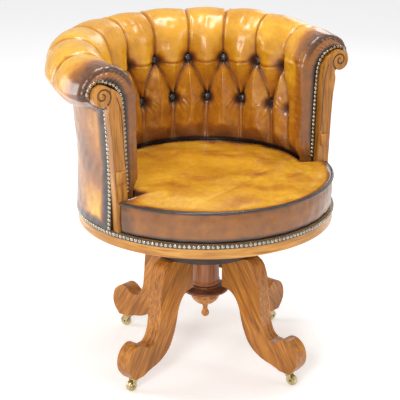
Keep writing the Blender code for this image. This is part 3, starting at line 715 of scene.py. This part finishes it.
def front_columns(edge_x, edge_z, along, bearing, sign):
    """The leather turned over the arm's front edge and gathered in towards the post's nails."""
    target_x, target_z = front_target(edge_z, bearing)
    run_x, run_z = SEAT_R + target_x - edge_x, target_z - edge_z
    length = np.hypot(run_x, run_z)
    run_x, run_z = run_x / length, run_z / length
    on_roll = ease((190 - bearing) / 60)
    waves = np.sin(along * 430 + 1.5 * np.sin(along * 61))
    columns, dyes = [], []
    for turn in np.radians(90) * np.arange(1, 9) / 8:
        inset = CORNER_R * (1 - math.cos(turn))
        y = TUB_FRONT + CORNER_R * (1 - math.sin(turn)) - 0.0005 * on_roll * waves * math.sin(turn)
        columns.append((edge_x + run_x * inset, y, edge_z + run_z * inset))
        dyes.append(0.30 + 0.25 * on_roll + 0.20 * math.sin(turn))
    for share in np.arange(1, 19) / 18:
        inset = CORNER_R + (length - CORNER_R) * share
        swell = math.sin(math.pi * min(share, 1 - 1e-9))
        puff = (0.0040 + 0.0030 * on_roll) * swell**0.8 + 0.0015 * on_roll * waves * swell**0.5
        columns.append((edge_x + run_x * inset, TUB_FRONT + 0.0002 - puff, edge_z + run_z * inset))
        gather = (0.5 + 0.5 * waves) * on_roll
        dyes.append(0.50 + 0.55 * ease((share - 0.30) / 0.40) - 0.10 * gather * (1 - share))
    points = np.stack([np.stack([sign * x, y, z], axis=-1) for x, y, z in columns], axis=1)
    return points, np.stack(dyes, axis=1)


def tub_points():
    """The whole inside of the tub as rows and columns of points, with its darkening: antique dye and painted
    shade.
    """
    radius, height, normal_r, normal_z, along, bearing = tub_profile()
    last = np.arccos((TUB_FRONT + CORNER_R) / radius)
    angle = column_shares()[None, :] * last[:, None]
    drop = roll_drop(angle, height[:, None])
    flat = along[:, None] - drop * (bearing[:, None] > 190)
    edge = (last[:, None] - np.abs(angle)) * radius[:, None]
    rise, dye_and_shade = tufting(angle * TUB_R, flat, edge)
    reach = radius[:, None] + normal_r[:, None] * rise
    clear = TUB_R + 0.0004 - 0.45 * np.maximum(0.0, height[:, None] - 0.118)
    reach = np.where(height[:, None] < 0.170, np.maximum(reach, clear), reach)
    under = np.clip(-bearing[:, None] / 76, 0, 1) * ease((np.degrees(np.abs(angle)) - 30) / 40)
    reach = reach - 0.0100 * np.sin(math.pi * under)
    gathered = underside_rise(angle, height[:, None]) * (bearing[:, None] < 0)
    up = height[:, None] - drop + gathered + normal_z[:, None] * rise
    points = np.stack([reach * np.sin(angle), reach * np.cos(angle), up], axis=-1)
    left, right = [
        front_columns(np.abs(points[:, column, 0]), points[:, column, 2], along, bearing, sign)
        for sign, column in ((-1, 0), (1, -1))
    ]
    points = np.concatenate([left[0][:, ::-1], points, right[0]], axis=1)
    return points, np.concatenate([left[1][:, ::-1], dye_and_shade, right[1]], axis=1)


def tufted_back():
    points, dye_and_shade = tub_points()
    points = points + tub_swelling(points, dye_and_shade)
    mesh = grid_mesh("tufted_back", points[:, ::-1])
    set_dye_and_shade(mesh, dye_and_shade[:, ::-1])
    piece = new_object("tufted_back", mesh, LEATHER)
    seat_piece(piece, "leather", "back_pad")


def tub_swelling(points, dye_and_shade):
    """How far the leather swells between its pleats, simulated on every third row and column."""
    rows, columns = [np.unique([*range(0, count, 3), count - 1]) for count in points.shape[:2]]
    coarse = points[np.ix_(rows, columns)]
    held = dye_and_shade[np.ix_(rows, columns)] > 0.50
    held[[0, -1]] = held[:, [0, -1]] = True
    trial = new_object("tub_trial", grid_mesh("tub_trial", coarse[:, ::-1]))
    moved = inflate(trial, held[:, ::-1].ravel(), 3.0, 0.0045).reshape(coarse.shape)[:, ::-1]
    moved[coarse[..., 2] < 0.13] = 0.0
    moved = np.tensordot(drawn_out(rows, points.shape[0]), moved, 1)
    return np.einsum("cj,rjk->rck", drawn_out(columns, points.shape[1]), moved)


def drawn_out(marks, count):
    """Weights that draw what is known at some marks out to every place, in straight lines."""
    return np.stack([np.interp(np.arange(count), marks, unit) for unit in np.eye(len(marks))], axis=1)


# ---- buttons and nails


def domes(name, places, facings, radius, rise, material, sides=14):
    """Round heads at the places, each facing its own way, as one mesh."""
    profile = [(1.0, 0.0), (1.0, 0.10), (0.95, 0.38), (0.78, 0.70), (0.50, 0.91), (0.20, 0.99)]
    turns = [math.tau * side / sides for side in range(sides)]
    circle = [(radius * math.cos(turn), radius * math.sin(turn)) for turn in turns]
    rings = [(out * x, out * y, rise * up) for out, up in profile for x, y in circle]
    head = np.array([*rings, (0.0, 0.0, rise)])
    last, top = len(rings) - sides, len(rings)
    sectors = [(side, (side + 1) % sides) for side in range(sides)]
    faces = [tuple(range(sides - 1, -1, -1))]
    for low in range(0, last, sides):
        high = low + sides
        faces += [(low + side, low + follow, high + follow, high + side) for side, follow in sectors]
    faces += [(last + side, last + follow, top) for side, follow in sectors]
    points, all_faces = [], []
    for number, (place, facing) in enumerate(zip(places, facings)):
        turn = np.array(Vector((0, 0, 1)).rotation_difference(Vector(facing)).to_matrix())
        points.append(head @ turn.T + np.array(place))
        all_faces += [tuple(corner + number * len(head) for corner in face) for face in faces]
    mesh = bpy.data.meshes.new(name)
    mesh.from_pydata(np.concatenate(points).tolist(), [], all_faces)
    mesh.shade_smooth()
    mesh.set_sharp_from_angle(angle=math.radians(60))
    return new_object(name, mesh, material)


def back_buttons():
    """Leather-covered buttons, sunk where the pleats meet."""
    spots = [(math.radians(a), UPPER_BUTTONS_Z) for a in UPPER_BUTTONS]
    spots += [(math.radians(a), LOWER_BUTTONS_Z) for a in LOWER_BUTTONS]
    reach = TUB_R + 0.0135
    places = [(reach * math.sin(turn), reach * math.cos(turn), height) for turn, height in spots]
    facings = [(-math.sin(turn), -math.cos(turn), 0.06) for turn, height in spots]
    seat_piece(domes("back_buttons", places, facings, BUTTON_R, 0.0072, BUTTON_LEATHER, 28), "dark_leather")


def spaced(path, spacing):
    """Places along a path at an even spacing."""
    path = np.array(path)
    steps = np.linalg.norm(np.diff(path, axis=0), axis=1)
    lengths = np.concatenate([[0.0], np.cumsum(steps)])
    count = round(lengths[-1] / spacing)
    marks = np.linspace(0.0, lengths[-1], count + 1)
    return np.stack([np.interp(marks, lengths, path[:, axis]) for axis in range(path.shape[1])], axis=1)


def rail_nails():
    """The nails along the top of the rail, on their narrow leather edging."""
    count = round(math.tau * SEAT_R / RAIL_NAIL_SPACING)
    turns = [math.tau * (i + 0.5) / count for i in range(count)]
    inner, outer = SEAT_R + 0.0001, SEAT_R + 0.0012
    height = RAIL_DEPTH - 0.0003 - NAIL_R
    facings = [(math.sin(turn), -math.cos(turn), 0.0) for turn in turns]
    places = [(outer * x, outer * y, height) for x, y, _ in facings]
    nails = domes("rail_nail_heads", places, facings, NAIL_R - 0.0004, NAIL_RISE - 0.0009, NAIL_BRASS)
    seat_piece(nails, "antique_brass", "rail_nails")
    low, high = height - NAIL_R - 0.0012, RAIL_DEPTH + 0.0010
    profile = [(inner, high), (outer - 0.0004, high), (outer, high - 0.0005), (outer, low + 0.0005)]
    profile += [(outer - 0.0004, low), (inner, low)]
    seat_piece(turned("rail_leather_edge", profile, PIPING_LEATHER, 256, True), "dark_leather")


def inner_nail_path():
    stem = [(-0.0475, 0.122), (-0.0455, 0.190), (-0.0430, 0.260), (-0.0395, 0.315)]
    stem += [(-0.0370, 0.338), (-0.0290, 0.3585), (-0.0155, 0.3710)]
    return stem + arc(SCROLL_X, SCROLL_Z, SCROLL_R + 0.0060, 112, 10, 14)


def shell_radius(height):
    """Radius of the outside leather: a faint waist, flaring up to the roll."""
    waist = 0.155
    below = 0.0036 * np.maximum(0.0, (waist - height) / (waist - CUSHION_Z)) ** 1.6
    above = 0.0095 * np.maximum(0.0, (height - waist) / (SHELL_TOP + 0.002 - waist)) ** 1.7
    return SEAT_R - 0.0010 + below + above


def arm_nails(side, sign):
    """A row of nails inside the post, round its scroll, and a row outside it."""
    inner = [(sign * (SEAT_R + x), TUB_FRONT - 0.0046, z) for x, z in spaced(inner_nail_path(), NAIL_SPACING)]
    low, high = CUSHION_Z + 0.0060, SHELL_TOP - ROLL_DROP + UNDERSIDE_RISE - 0.008
    y = TUB_FRONT + NAIL_R
    outer = []
    for height in np.linspace(low, high, round((high - low) / NAIL_SPACING) + 1):
        reach = float(shell_radius(unmoved_height(height))) + 0.0006
        outer.append((sign * math.sqrt(reach**2 - y**2), y, height))
    outward = [(x, y, 0.0) for x, y, _ in outer]
    for row, places, facings in (("inner_", inner, [(0, -1, 0)] * len(inner)), ("outer_", outer, outward)):
        heads = domes("arm_nail_heads_" + row + side, places, facings, NAIL_R, NAIL_RISE - 0.0002, NAIL_BRASS)
        seat_piece(heads, "antique_brass", "arm_nails_" + row + side)


# ---- outside leather


def outside_leather():
    """The panel round the outside of the tub, drawn tight, with a seam each side of the back."""
    heights = np.linspace(CUSHION_Z - 0.0002, SHELL_TOP + 0.002, 70)[:, None]
    radius = shell_radius(heights)
    last = np.arccos(TUB_FRONT / radius)
    angle = np.linspace(-1.0, 1.0, 300)[None, :] * last
    up = heights - roll_drop(angle, heights) + underside_rise(angle, heights)
    edge = (last - np.abs(angle)) * radius
    seam = np.abs(np.abs(angle) - PANEL_SEAM) * radius
    around = angle * radius
    rise = 0.0010 * ripple(around, heights * 0.6, 0.130, 11) + 0.0004 * ripple(around, heights, 0.03, 12)
    rise = rise - 0.0016 * bell(seam, 0.0016) + 0.0008 * bell(seam - 0.0045, 0.0026)
    radius = radius + rise * ease(edge / 0.010)
    points = np.stack([radius * np.sin(angle), radius * np.cos(angle), up], axis=-1)
    mesh = grid_mesh("outside_leather", points)
    set_dye_and_shade(mesh, highest(
        ease(1 - (edge - 0.014) / 0.036),
        0.95 * ease((CUSHION_Z + 0.030 - up) / 0.026),
        # Darker at the top, where the panel runs in under the roll.
        0.70 * ease((up - (SHELL_TOP - 0.030)) / 0.030),
        0.50 * bell(seam, 0.004),
        0.34 + 0.22 * ripple(around, up, 0.16, 21),
    ))
    piece = new_object("outside_leather", mesh, LEATHER)
    skin = piece.modifiers.new("Hide", "SOLIDIFY")
    skin.thickness = 0.0022
    skin.offset = 1.0
    seat_piece(piece, "leather", "outside_back")


# ---- seat cushion


def circle_run(radius, first, last, count):
    """Places on a circle round the axis, from one turn to another. Turns are counted from the front."""
    return [(radius * math.sin(turn), -radius * math.cos(turn)) for turn in np.linspace(first, last, count)]


def cushion_border(count):
    """The cushion's plan, counter-clockwise: wide in front of the posts, and inside the tub behind them."""
    front_r, back_r = SEAT_R - 0.0040, TUB_R - 0.0022
    shoulder = POST_FRONT - 0.0006
    front_turn = math.acos(-shoulder / front_r)
    back_turn = math.acos(-shoulder / back_r)
    front = circle_run(front_r, -front_turn, front_turn, 90)
    back = circle_run(back_r, back_turn, math.tau - back_turn, 110)
    even = spaced([*front, *back, front[0]], 0.001)[:-1]
    marks = np.linspace(0, len(even), count, endpoint=False)
    window = np.arange(-4, 5)
    smooth = even[(np.arange(len(even))[:, None] + window) % len(even)].mean(axis=1)
    return np.stack([np.interp(marks, np.arange(len(even)), smooth[:, axis]) for axis in (0, 1)], axis=1)


def seat_cushion():
    """The sprung seat: a domed top, a piped seam, and a boxed side drawn in at the seam and the rail."""
    border = cushion_border(260)
    centre = np.array([0.0, -0.118])
    in_front = ease((POST_FRONT + 0.004 - border[:, 1]) / 0.006)
    share = np.linspace(0.0, 1.0, 46)[1:] ** 0.9
    rows = []
    lift, rim = PIPING_Z + 0.0026, SEAT_R - 0.0064
    for ring in share:
        flat = centre + (border - centre) * ring
        spread = np.clip((np.hypot(flat[:, 0], flat[:, 1]) - 0.090) / (rim - 0.090), 0.0, 1.0)
        height = lift + (CROWN_Z - lift) * (1 - spread**2.2)
        tuck = 0.0060 * (1 - in_front) * bell(1 - ring, 0.022)
        rows.append(np.column_stack([flat, height - tuck]))
    out = border / np.linalg.norm(border, axis=1, keepdims=True)
    depth = PIPING_Z - CUSHION_Z
    side = np.arange(1, SIDE_ROWS + 1) / SIDE_ROWS
    for down in side:
        swell = (0.0028 * math.sin(math.pi * down) ** 0.7 - 0.0010) * in_front[:, None]
        height = PIPING_Z - 0.0020 - (depth - 0.0026) * down
        rows.append(np.column_stack([border + out * swell, np.full(len(border), height)]))
    points = np.array(rows)
    along = np.concatenate([[0.0], np.cumsum(np.linalg.norm(np.diff(border, axis=0), axis=1))])
    seam_row = len(share) - 1
    points = points + cushion_swelling(points, seam_row)
    points[:seam_row, :, 2] = np.minimum(points[:seam_row, :, 2], CROWN_Z - 0.0016)
    points[:seam_row, :, 2] += seat_creases(points[:seam_row, :, 0], points[:seam_row, :, 1], share[:-1])
    side = side[:, None]
    puckers = 0.0007 * np.sin(along * 310 + 2 * np.sin(along * 37)) * bell(side - 0.15, 0.25)
    puckers = puckers + 0.0006 * ripple(along[None, :], side * depth, 0.035, 31)
    points[seam_row + 1 :, :, :2] += out[None] * (puckers * in_front[None, :])[..., None]
    behind = points[..., 1] > POST_FRONT - 0.0004
    reach = np.linalg.norm(points[..., :2], axis=-1)
    limit = np.where(behind, TUB_R - 0.0012, SEAT_R + 0.0012)
    points[..., :2] *= np.minimum(1.0, limit / reach)[..., None]
    dye_and_shade = cushion_dye_and_shade(points, border, share, in_front, side * depth)
    mesh = capped_grid("leather_seat", points, (*centre, points[0, :, 2].mean()))
    set_dye_and_shade(mesh, np.append(dye_and_shade.ravel(), 0.05))
    piece = new_object("leather_seat", mesh, LEATHER)
    seat_piece(piece, "leather", "seat_cushion")


def cushion_dye_and_shade(points, border, share, in_front, down):
    """Dark dye at the front corners and above the nails, darker under the piping, and painted shade where the seat
    meets the tub.
    """
    x, y = points[: len(share), :, 0], points[: len(share), :, 1]
    gap = (1 - share)[:, None] * np.linalg.norm(border - border.mean(axis=0), axis=1)[None, :]
    front_band = 0.60 * bell(gap, 0.0060) + 0.22 * bell(gap, 0.026)
    top = highest(
        # Painted shade in the crevice where the seat meets the tub behind the posts.
        0.85 * bell(gap, 0.013) * (1 - in_front),
        front_band * in_front,
        0.80 * bell(np.hypot(np.abs(x) - 0.282, y - POST_FRONT + 0.012), 0.050),
        0.10 + 0.16 * ripple(x, y, 0.12, 41),
    )
    x, y = border[:, 0], border[:, 1]
    side = highest(
        0.55 * bell(down, 0.0120),
        ease((down - (down[-1] - 0.015)) / 0.011),
        0.66 * bell(np.hypot(np.abs(x) - 0.283, y - POST_FRONT), 0.090),
        0.46 * ease((y + 0.190) / 0.060),
        0.14 + 0.20 * ripple(x, y + down, 0.09, 43),
    )
    return np.concatenate([top, side])


def seat_creases(x, y, share):
    """Soft hollows and a few long creases in the seat's worn leather."""
    calm = ease((1 - share) / 0.12)[:, None]
    soft = 0.0014 * ripple(x, y, 0.150, 51) + 0.0005 * ripple(x, y, 0.045, 52)
    lines = np.zeros(x.shape)
    for first, last, bend in (
        ((-0.20, -0.02), (0.05, -0.12), 0.020),
        ((-0.12, -0.19), (0.10, -0.10), -0.016),
        ((0.02, 0.09), (0.19, -0.05), 0.014),
        ((-0.16, 0.08), (-0.02, 0.02), -0.012),
        ((0.06, -0.20), (0.22, -0.13), 0.010),
    ):
        middle = ((x - first[0]) / (last[0] - first[0])).clip(0, 1)
        bent = y - bend * np.sin(math.pi * middle) - 0.003 * ripple(x, y, 0.03, 53)
        lines += bell(segment_distance(x, bent, first, last), 0.0035)
    return calm * (soft - 0.0011 * lines)


def cushion_swelling(points, seam_row):
    """How far the cushion swells, simulated with its seam and its lower edge held."""
    trial = new_object("seat_trial", grid_mesh("seat_trial", points, wrap=True))
    held = np.zeros(points.shape[:2], bool)
    held[[seam_row, seam_row + 1, -1]] = True
    moved = inflate(trial, held.ravel(), 2.2, 0.0060).reshape(points.shape)
    moved[0] = moved[0].mean(axis=0)
    return moved


def capped_grid(name, points, peak):
    """A wrapped grid whose first row closes on one point."""
    columns = points.shape[1]
    mesh = grid_mesh(name, points[:, ::-1], wrap=True)

    def cap(shape):
        top = shape.verts.new(peak)
        shape.verts.ensure_lookup_table()
        for column in range(columns):
            shape.faces.new((shape.verts[column], top, shape.verts[(column + 1) % columns])).smooth = True

    reshape(mesh, cap)
    return mesh


def seat_piping():
    """The round piping in the seam, from post to post, with its ends turned in."""
    radius = SEAT_R - 0.0017
    end = math.asin((-POST_FRONT + 0.0035) / radius)
    turns = np.linspace(-end, end - math.pi, 220)
    wobble = 0.0003 * ripple(turns * radius, 0 * turns, 0.03, 61)
    reach = radius + wobble
    points = np.column_stack([reach * np.cos(turns), reach * np.sin(turns), PIPING_Z + wobble])
    seat_piece(rod("piping", points, PIPING_R, PIPING_LEATHER), "dark_leather", "seat_piping")


# ---- seat woodwork


def seat_rail():
    rim, nick = 0.0045, 0.001
    profile = [(RAIL_INNER_R, RAIL_DEPTH), (SEAT_R - nick, RAIL_DEPTH), (SEAT_R, RAIL_DEPTH - nick)]
    profile += [*arc(SEAT_R - rim, rim, rim, 0, -90, 8), (RAIL_INNER_R, 0.0)]
    seat_piece(turned("oak_seat_rail", profile, RAIL_OAK, 256, True), "oak", "seat_rail")


def post_outline(sign):
    """The post's front view: up its inner edge, over the scroll, and down its outer edge."""
    scroll = arc(SCROLL_X, SCROLL_Z, SCROLL_R, 125, -118, 16)
    inner = [(-0.0395, CUSHION_Z), (-0.0395, 0.120), (-0.0365, 0.190), (-0.0340, 0.270)]
    inner += [(-0.0300, 0.333), (-0.0230, 0.353)]
    outer = [(0.0040, 0.308), (-0.0015, 0.268), (-0.0060, 0.200), (-0.0092, 0.130), (-0.0130, CUSHION_Z)]
    points = [(x, z, False) for x, z in inner + scroll + outer]
    points[0] = (*inner[0], True)
    points[-1] = (*outer[-1], True)
    return [(sign * (SEAT_R + x), z, corner) for x, z, corner in points]


def volute_path(sign):
    """The carved line: in from the scroll's notch, winding to the eye."""
    places = []
    for turn in np.linspace(0.0, 520.0, 110):
        radius = (SCROLL_R - 0.0004) * math.exp(-0.0031 * turn)
        bearing = math.radians(-118.0 - turn)
        x = SEAT_R + SCROLL_X + radius * math.cos(bearing)
        places.append((sign * x, -POST_THICK / 2 - 0.0002, SCROLL_Z + radius * math.sin(bearing)))
    return places


def arm_post(side, sign):
    """A post with a carved volute at its head and a fine line down its inner edge."""
    post = board("oak_post_" + side, post_outline(sign), POST_THICK, POST_OAK, 8)
    round_edges(post, 0.0020)
    stem = [(-0.0355, 0.186), (-0.0325, 0.230), (-0.0300, 0.275), (-0.0265, 0.318), (-0.0175, 0.345)]
    stem_path = [(sign * (SEAT_R + x), -POST_THICK / 2 - 0.0004, z) for x, z in spaced(stem, 0.006)]
    # The cuts leave the groove faces in a much darker oak: painted shade in the carving.
    cutters = [
        rod("volute_cut", volute_path(sign), 0.0021, GROOVE_SHADE_OAK, 2),
        rod("stem_cut", stem_path, 0.0013, GROOVE_SHADE_OAK, 2),
    ]
    for number, cutter in enumerate(cutters):
        carve = post.modifiers.new(f"Carve {number}", "BOOLEAN")
        carve.operation = "DIFFERENCE"
        carve.object = cutter
        carve.material_mode = "TRANSFER"
    settled(post)
    for cutter in cutters:
        bpy.data.objects.remove(cutter, do_unlink=True)
    even_shading(post)
    post.location = SEAT_PLACE + Vector((0.0, POST_FRONT + POST_THICK / 2, 0.0))
    settle_piece(post, "seat", "oak", "arm_post_" + side)
    eye = domes("volute_eye_" + side, [(0, 0, 0)], [(0, -1, 0)], 0.0034, 0.0014, POST_OAK, 24)
    eye.location = SEAT_PLACE + Vector((sign * (SEAT_R + SCROLL_X), POST_FRONT + 0.0002, SCROLL_Z))
    settle_piece(eye, "seat", "oak")


def arm_block(side):
    """The small pillow-shaped block across the post, with notched lower corners."""
    low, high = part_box("arm_block_" + side)
    wide, deep, tall = high - low
    across, up = np.meshgrid(np.linspace(-1.0, 1.0, 21), np.linspace(-1.0, 1.0, 21))
    crown = (1 - np.abs(across) ** 5) * (1 - np.abs(up) ** 5)
    notch = bell(np.hypot(np.abs(across) - 1, up + 1), 0.22)
    front = -deep * (0.30 + 0.70 * crown ** 0.6) * (1 - 0.8 * notch)
    pull = 1 - 0.05 * (1 - crown ** 0.5)
    points = np.stack([across * wide / 2 * pull, front + deep / 2, up * tall / 2 * pull], axis=-1)
    mesh = grid_mesh("block", points)

    def rims(shape):
        return [edge for edge in shape.edges if edge.is_boundary]

    def close_back(shape):
        grown = bmesh.ops.extrude_edge_only(shape, edges=rims(shape))["geom"]
        for vertex in (item for item in grown if isinstance(item, bmesh.types.BMVert)):
            vertex.co.y = deep / 2
        bmesh.ops.holes_fill(shape, edges=rims(shape))

    reshape(mesh, close_back)
    mesh.shade_smooth()
    mesh.set_sharp_from_angle(angle=math.radians(60))
    block = new_object("oak_block_" + side, mesh, POST_OAK)
    block.location = (low + high) / 2
    settle_piece(block, "seat", "oak", "arm_block_" + side)


# ---- base


def leg_outline():
    """The leg's side view: down its outer edge, round the upturned scroll foot, and up its inner edge."""
    hub = (COLUMN_HIGH.x - COLUMN_LOW.x) / 2 - 0.0012
    foot, top = LEG_LOW.z, LEG_HIGH.z
    shares = (
        (0.435, 1.000), (0.492, 0.962), (0.532, 0.875), (0.563, 0.726), (0.583, 0.518), (0.610, 0.360),
        (0.670, 0.273), (0.748, 0.259), (0.855, 0.321), (0.945, 0.287), (0.997, 0.191), (0.990, 0.093),
        (0.925, 0.000), (0.820, 0.000), (0.745, 0.028), (0.600, 0.070), (0.475, 0.153), (0.405, 0.267),
        (0.362, 0.395), (0.326, 0.524), (0.266, 0.616), (0.195, 0.652), (0.131, 0.664), (0.131, 1.000),
    )
    corners = ((0.435, 1.000), (0.748, 0.259), (0.925, 0.000), (0.820, 0.000), (0.131, 0.664), (0.131, 1.000))
    return [
        (hub + share[0] * (LEG_REACH - hub), foot + share[1] * (top - foot), share in corners)
        for share in shares
    ]


def leg(place, angle):
    piece = board("oak_leg_" + place, leg_outline(), LEG_THICK, LEG_OAK)
    round_edges(piece, 0.0038)
    even_shading(piece)
    piece.rotation_euler.z = math.radians(angle - 90)
    base_piece(piece, "oak", "leg_" + place)


def column():
    """The turned shaft between the legs, with a ring under its top and a moulded foot."""
    radius = (COLUMN_HIGH.x - COLUMN_LOW.x) / 2 - 0.0015
    low, high = COLUMN_LOW.z, COLUMN_HIGH.z
    bore = 0.0186
    ring = [*arc(radius + 0.0002, high - 0.0050, 0.0028, 80, -80, 6), (radius, high - 0.0095)]
    foot = [(radius, low + 0.0140), *arc(radius, low + 0.0100, 0.0018, 80, -80, 5)]
    foot += [(radius - 0.0004, low + 0.0068), *arc(radius - 0.0010, low + 0.0032, 0.0027, 80, -90, 6)]
    profile = [(bore, high), (radius, high), *ring, *foot, (bore, low)]
    base_piece(turned("oak_column", profile, COLUMN_OAK, 96, True), "dark_oak", "column")


def collar():
    """The moulding under the column: a small step on a thin wide disc."""
    radius, high = (COLLAR_HIGH.x - COLLAR_LOW.x) / 2, COLLAR_HIGH.z
    disc = high - 0.0090
    step = [(0.0, high), (0.0352, high), *arc(0.0350, high - 0.0030, 0.0028, 80, -80, 6)]
    step += [(0.0362, high - 0.0066), (0.0400, disc + 0.0010), (radius - 0.007, disc)]
    rim = arc(radius - 0.0040, disc - 0.0040, 0.0040, 85, -80, 9)
    under = [(0.0420, disc - 0.0092), (0.0350, disc - 0.0096), (0.0, disc - 0.0096)]
    base_piece(turned("oak_collar", [*step, *rim, *under], COLLAR_OAK), "dark_oak", "collar")


def finial():
    """The turned bowl under the collar, with its drop."""
    radius = (FINIAL_HIGH.x - FINIAL_LOW.x) / 2
    low, high = FINIAL_LOW.z, FINIAL_HIGH.z
    top, neck, drop_r = high + 0.0068, high - 0.0290, 0.0098
    lip = [(0.0, top), (radius - 0.004, top), *arc(radius - 0.0030, top - 0.0022, 0.0018, 80, -80, 6)]
    bowl = [(r, top - 0.0050 + z * 0.92) for r, z in arc(0.0, 0.0, radius - 0.0018, 0, -74, 18)]
    bead = [(0.0100, neck + 0.0002), *arc(0.0078, neck - 0.0014, 0.0017, 70, -80, 5)]
    stem = [(0.0068, neck - 0.0052), (0.0058, neck - 0.0100), (0.0060, neck - 0.0150)]
    knob = [*arc(0.0, low + drop_r, drop_r, 46, -88, 12), (0.0, low)]
    base_piece(turned("oak_finial", [*lip, *bowl, *bead, *stem, *knob], BOWL_OAK, 72), "oak", "finial")


def castor_wheel(place):
    """A solid brass wheel with a rounded tread, a dished side and a hub boss."""
    joint = next(j for j in frame["joints"] if j["name"] == "wheel_roll_" + place)
    low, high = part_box("castor_wheel_" + place)
    radius = (high.z - low.z) / 2
    half, bore, tread_r = 0.0065, 0.0022, 0.0030
    rim = radius - 0.0026
    side = [(bore, half), (0.0050, half), (0.0056, half - 0.0007), (0.0064, half - 0.0014)]
    side += [(rim - 0.0018, half - 0.0010), (rim, half - 0.0002)]
    tread = [(r, z * (half - 0.0008) / tread_r) for r, z in arc(radius - tread_r, 0.0, tread_r, 62, -62, 9)]
    profile = [*side, *tread, *[(r, -z) for r, z in reversed(side)]]
    wheel = turned("brass_wheel_" + place, profile, BRASS, 56, True)
    wheel.location = (low + high) / 2
    wheel.rotation_mode = "QUATERNION"
    wheel.rotation_quaternion = Vector((0, 0, 1)).rotation_difference(Vector(joint["axis"]))
    settle_piece(wheel, "wheel_" + place, "brass", "castor_wheel_" + place)


def castor_socket(place):
    """The brass plate and ferrule under the foot, with a rounded lower edge."""
    name = "castor_socket_" + place
    low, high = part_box(name)
    radius, tall = (high.x - low.x) / 2, high.z - low.z
    bore, edge = 0.0036, 0.0012
    foot = arc(radius - edge, edge, edge, -20, -80, 4)
    profile = [(bore, tall), (radius, tall), (radius, edge), *foot, (bore, 0.0)]
    socket = turned("brass_socket_" + place, profile, BRASS, 48, True)
    socket.location = ((low.x + high.x) / 2, (low.y + high.y) / 2, low.z)
    bodies = frame["record"]["behaviour"]["bodies"]
    settle_piece(socket, next(body for body in bodies if name in bodies[body]), "brass", name)


# ---- kept CAD pieces


def finish_kept_nodes():
    """Gives the CAD pieces that stay in sight, or inside, their materials."""
    # The base plate's near-black oak is partly painted shade under the seat.
    finishes = {
        "spindle": IRON, "seat_spider": IRON, "base_plate": PLATE_OAK_WITH_SHADE, "seat_board": PINE,
        "thrust_washer": BRASS, "spindle_bush": BRASS, "spring_canvas": CANVAS, "back_top_rail": BEECH,
        "back_stile": BEECH, "seat_spring": STEEL, "castor_fork": BRASS, "castor_axle": IRON,
    }
    softened = ("castor_fork", "seat_spider", "base_plate", "back_stile")
    for name, obj in frame["nodes"].items():
        for start, material in finishes.items():
            if name.startswith(start):
                obj.data.materials.clear()
                obj.data.materials.append(material)
                if start in softened:
                    round_edges(obj, 0.0004, 2)


# ---- stage, lights and camera


def stage():
    bpy.ops.mesh.primitive_circle_add(vertices=96, radius=7.0, fill_type="NGON")
    floor = bpy.context.object
    floor.name = "floor"
    material, tree, shader, _ = new_material("pale_floor")
    feed(tree, shader, Base_Color=(0.97, 0.97, 0.97, 1.0), Roughness=0.85, Specular_IOR_Level=0.1)
    feed(tree, shader, Emission_Color=(1.0, 1.0, 1.0, 1.0), Emission_Strength=0.22)
    floor.data.materials.append(material)


def softbox(name, place, target, size, power):
    light = bpy.data.lights.new(name, "AREA")
    light.shape = "RECTANGLE"
    light.size, light.size_y = size
    light.energy = power
    box = bpy.data.objects.new(name, light)
    box.location = place
    box.rotation_euler = (Vector(target) - Vector(place)).to_track_quat("-Z", "Y").to_euler()
    bpy.context.scene.collection.objects.link(box)


def lights():
    """Even white surroundings, brighter where the camera sees them, and five soft boxes."""
    world = bpy.data.worlds.new("studio")
    bpy.context.scene.world = world
    world.use_nodes = True
    tree = world.node_tree
    background = tree.nodes["Background"]
    seen = node(tree, "LightPath").outputs["Is Camera Ray"]
    strength = math_node(tree, "ADD", times(tree, seen, 0.45), 0.62)
    feed(tree, background, Strength=strength, Color=(1.0, 1.0, 1.0, 1.0))
    softbox("overhead", (0.1, -0.2, 2.5), (0.0, 0.0, 0.5), (1.3, 0.5), 30)
    softbox("front_left", (-2.2, -2.0, 1.7), (0.0, 0.0, 0.5), (0.7, 1.2), 40)
    softbox("front_right", (2.0, -2.2, 1.9), (0.0, 0.0, 0.6), (0.5, 1.0), 9)
    softbox("back_left", (-2.2, 2.0, 0.9), (0.0, 0.0, 0.5), (1.2, 1.6), 36)
    softbox("back_right", (2.2, 1.8, 1.8), (0.0, 0.0, 0.5), (0.8, 1.4), 8)


def camera():
    """Stands in front to the left, looking down a little, a long lens away."""
    heading, pitch = math.radians(32.1 - 0.18), math.radians(19.34)
    right = Vector((math.cos(heading), -math.sin(heading), 0.0))
    place = Vector((-1.644, -2.621 + AXIS_Y, 1.4835)) - right * 0.003
    data = bpy.data.cameras.new("view")
    data.lens = 124.5
    data.sensor_width = 36.0
    data.shift_y = 0.00225
    view = bpy.data.objects.new("view", data)
    view.location = place
    view.rotation_euler = (math.radians(90) - pitch, 0.0, -heading)
    bpy.context.scene.collection.objects.link(view)
    bpy.context.scene.camera = view


camera()
lights()
stage()
bpy.context.scene.view_settings.view_transform = "Standard"

tufted_back()
back_buttons()
outside_leather()
seat_cushion()
seat_piping()
rail_nails()
seat_rail()
for post_side, post_sign in SIDES:
    arm_post(post_side, post_sign)
    arm_block(post_side)
    arm_nails(post_side, post_sign)
for leg_place, leg_angle in LEG_ANGLES.items():
    leg(leg_place, leg_angle)
    castor_wheel(leg_place)
    castor_socket(leg_place)
column()
collar()
finial()
finish_kept_nodes()
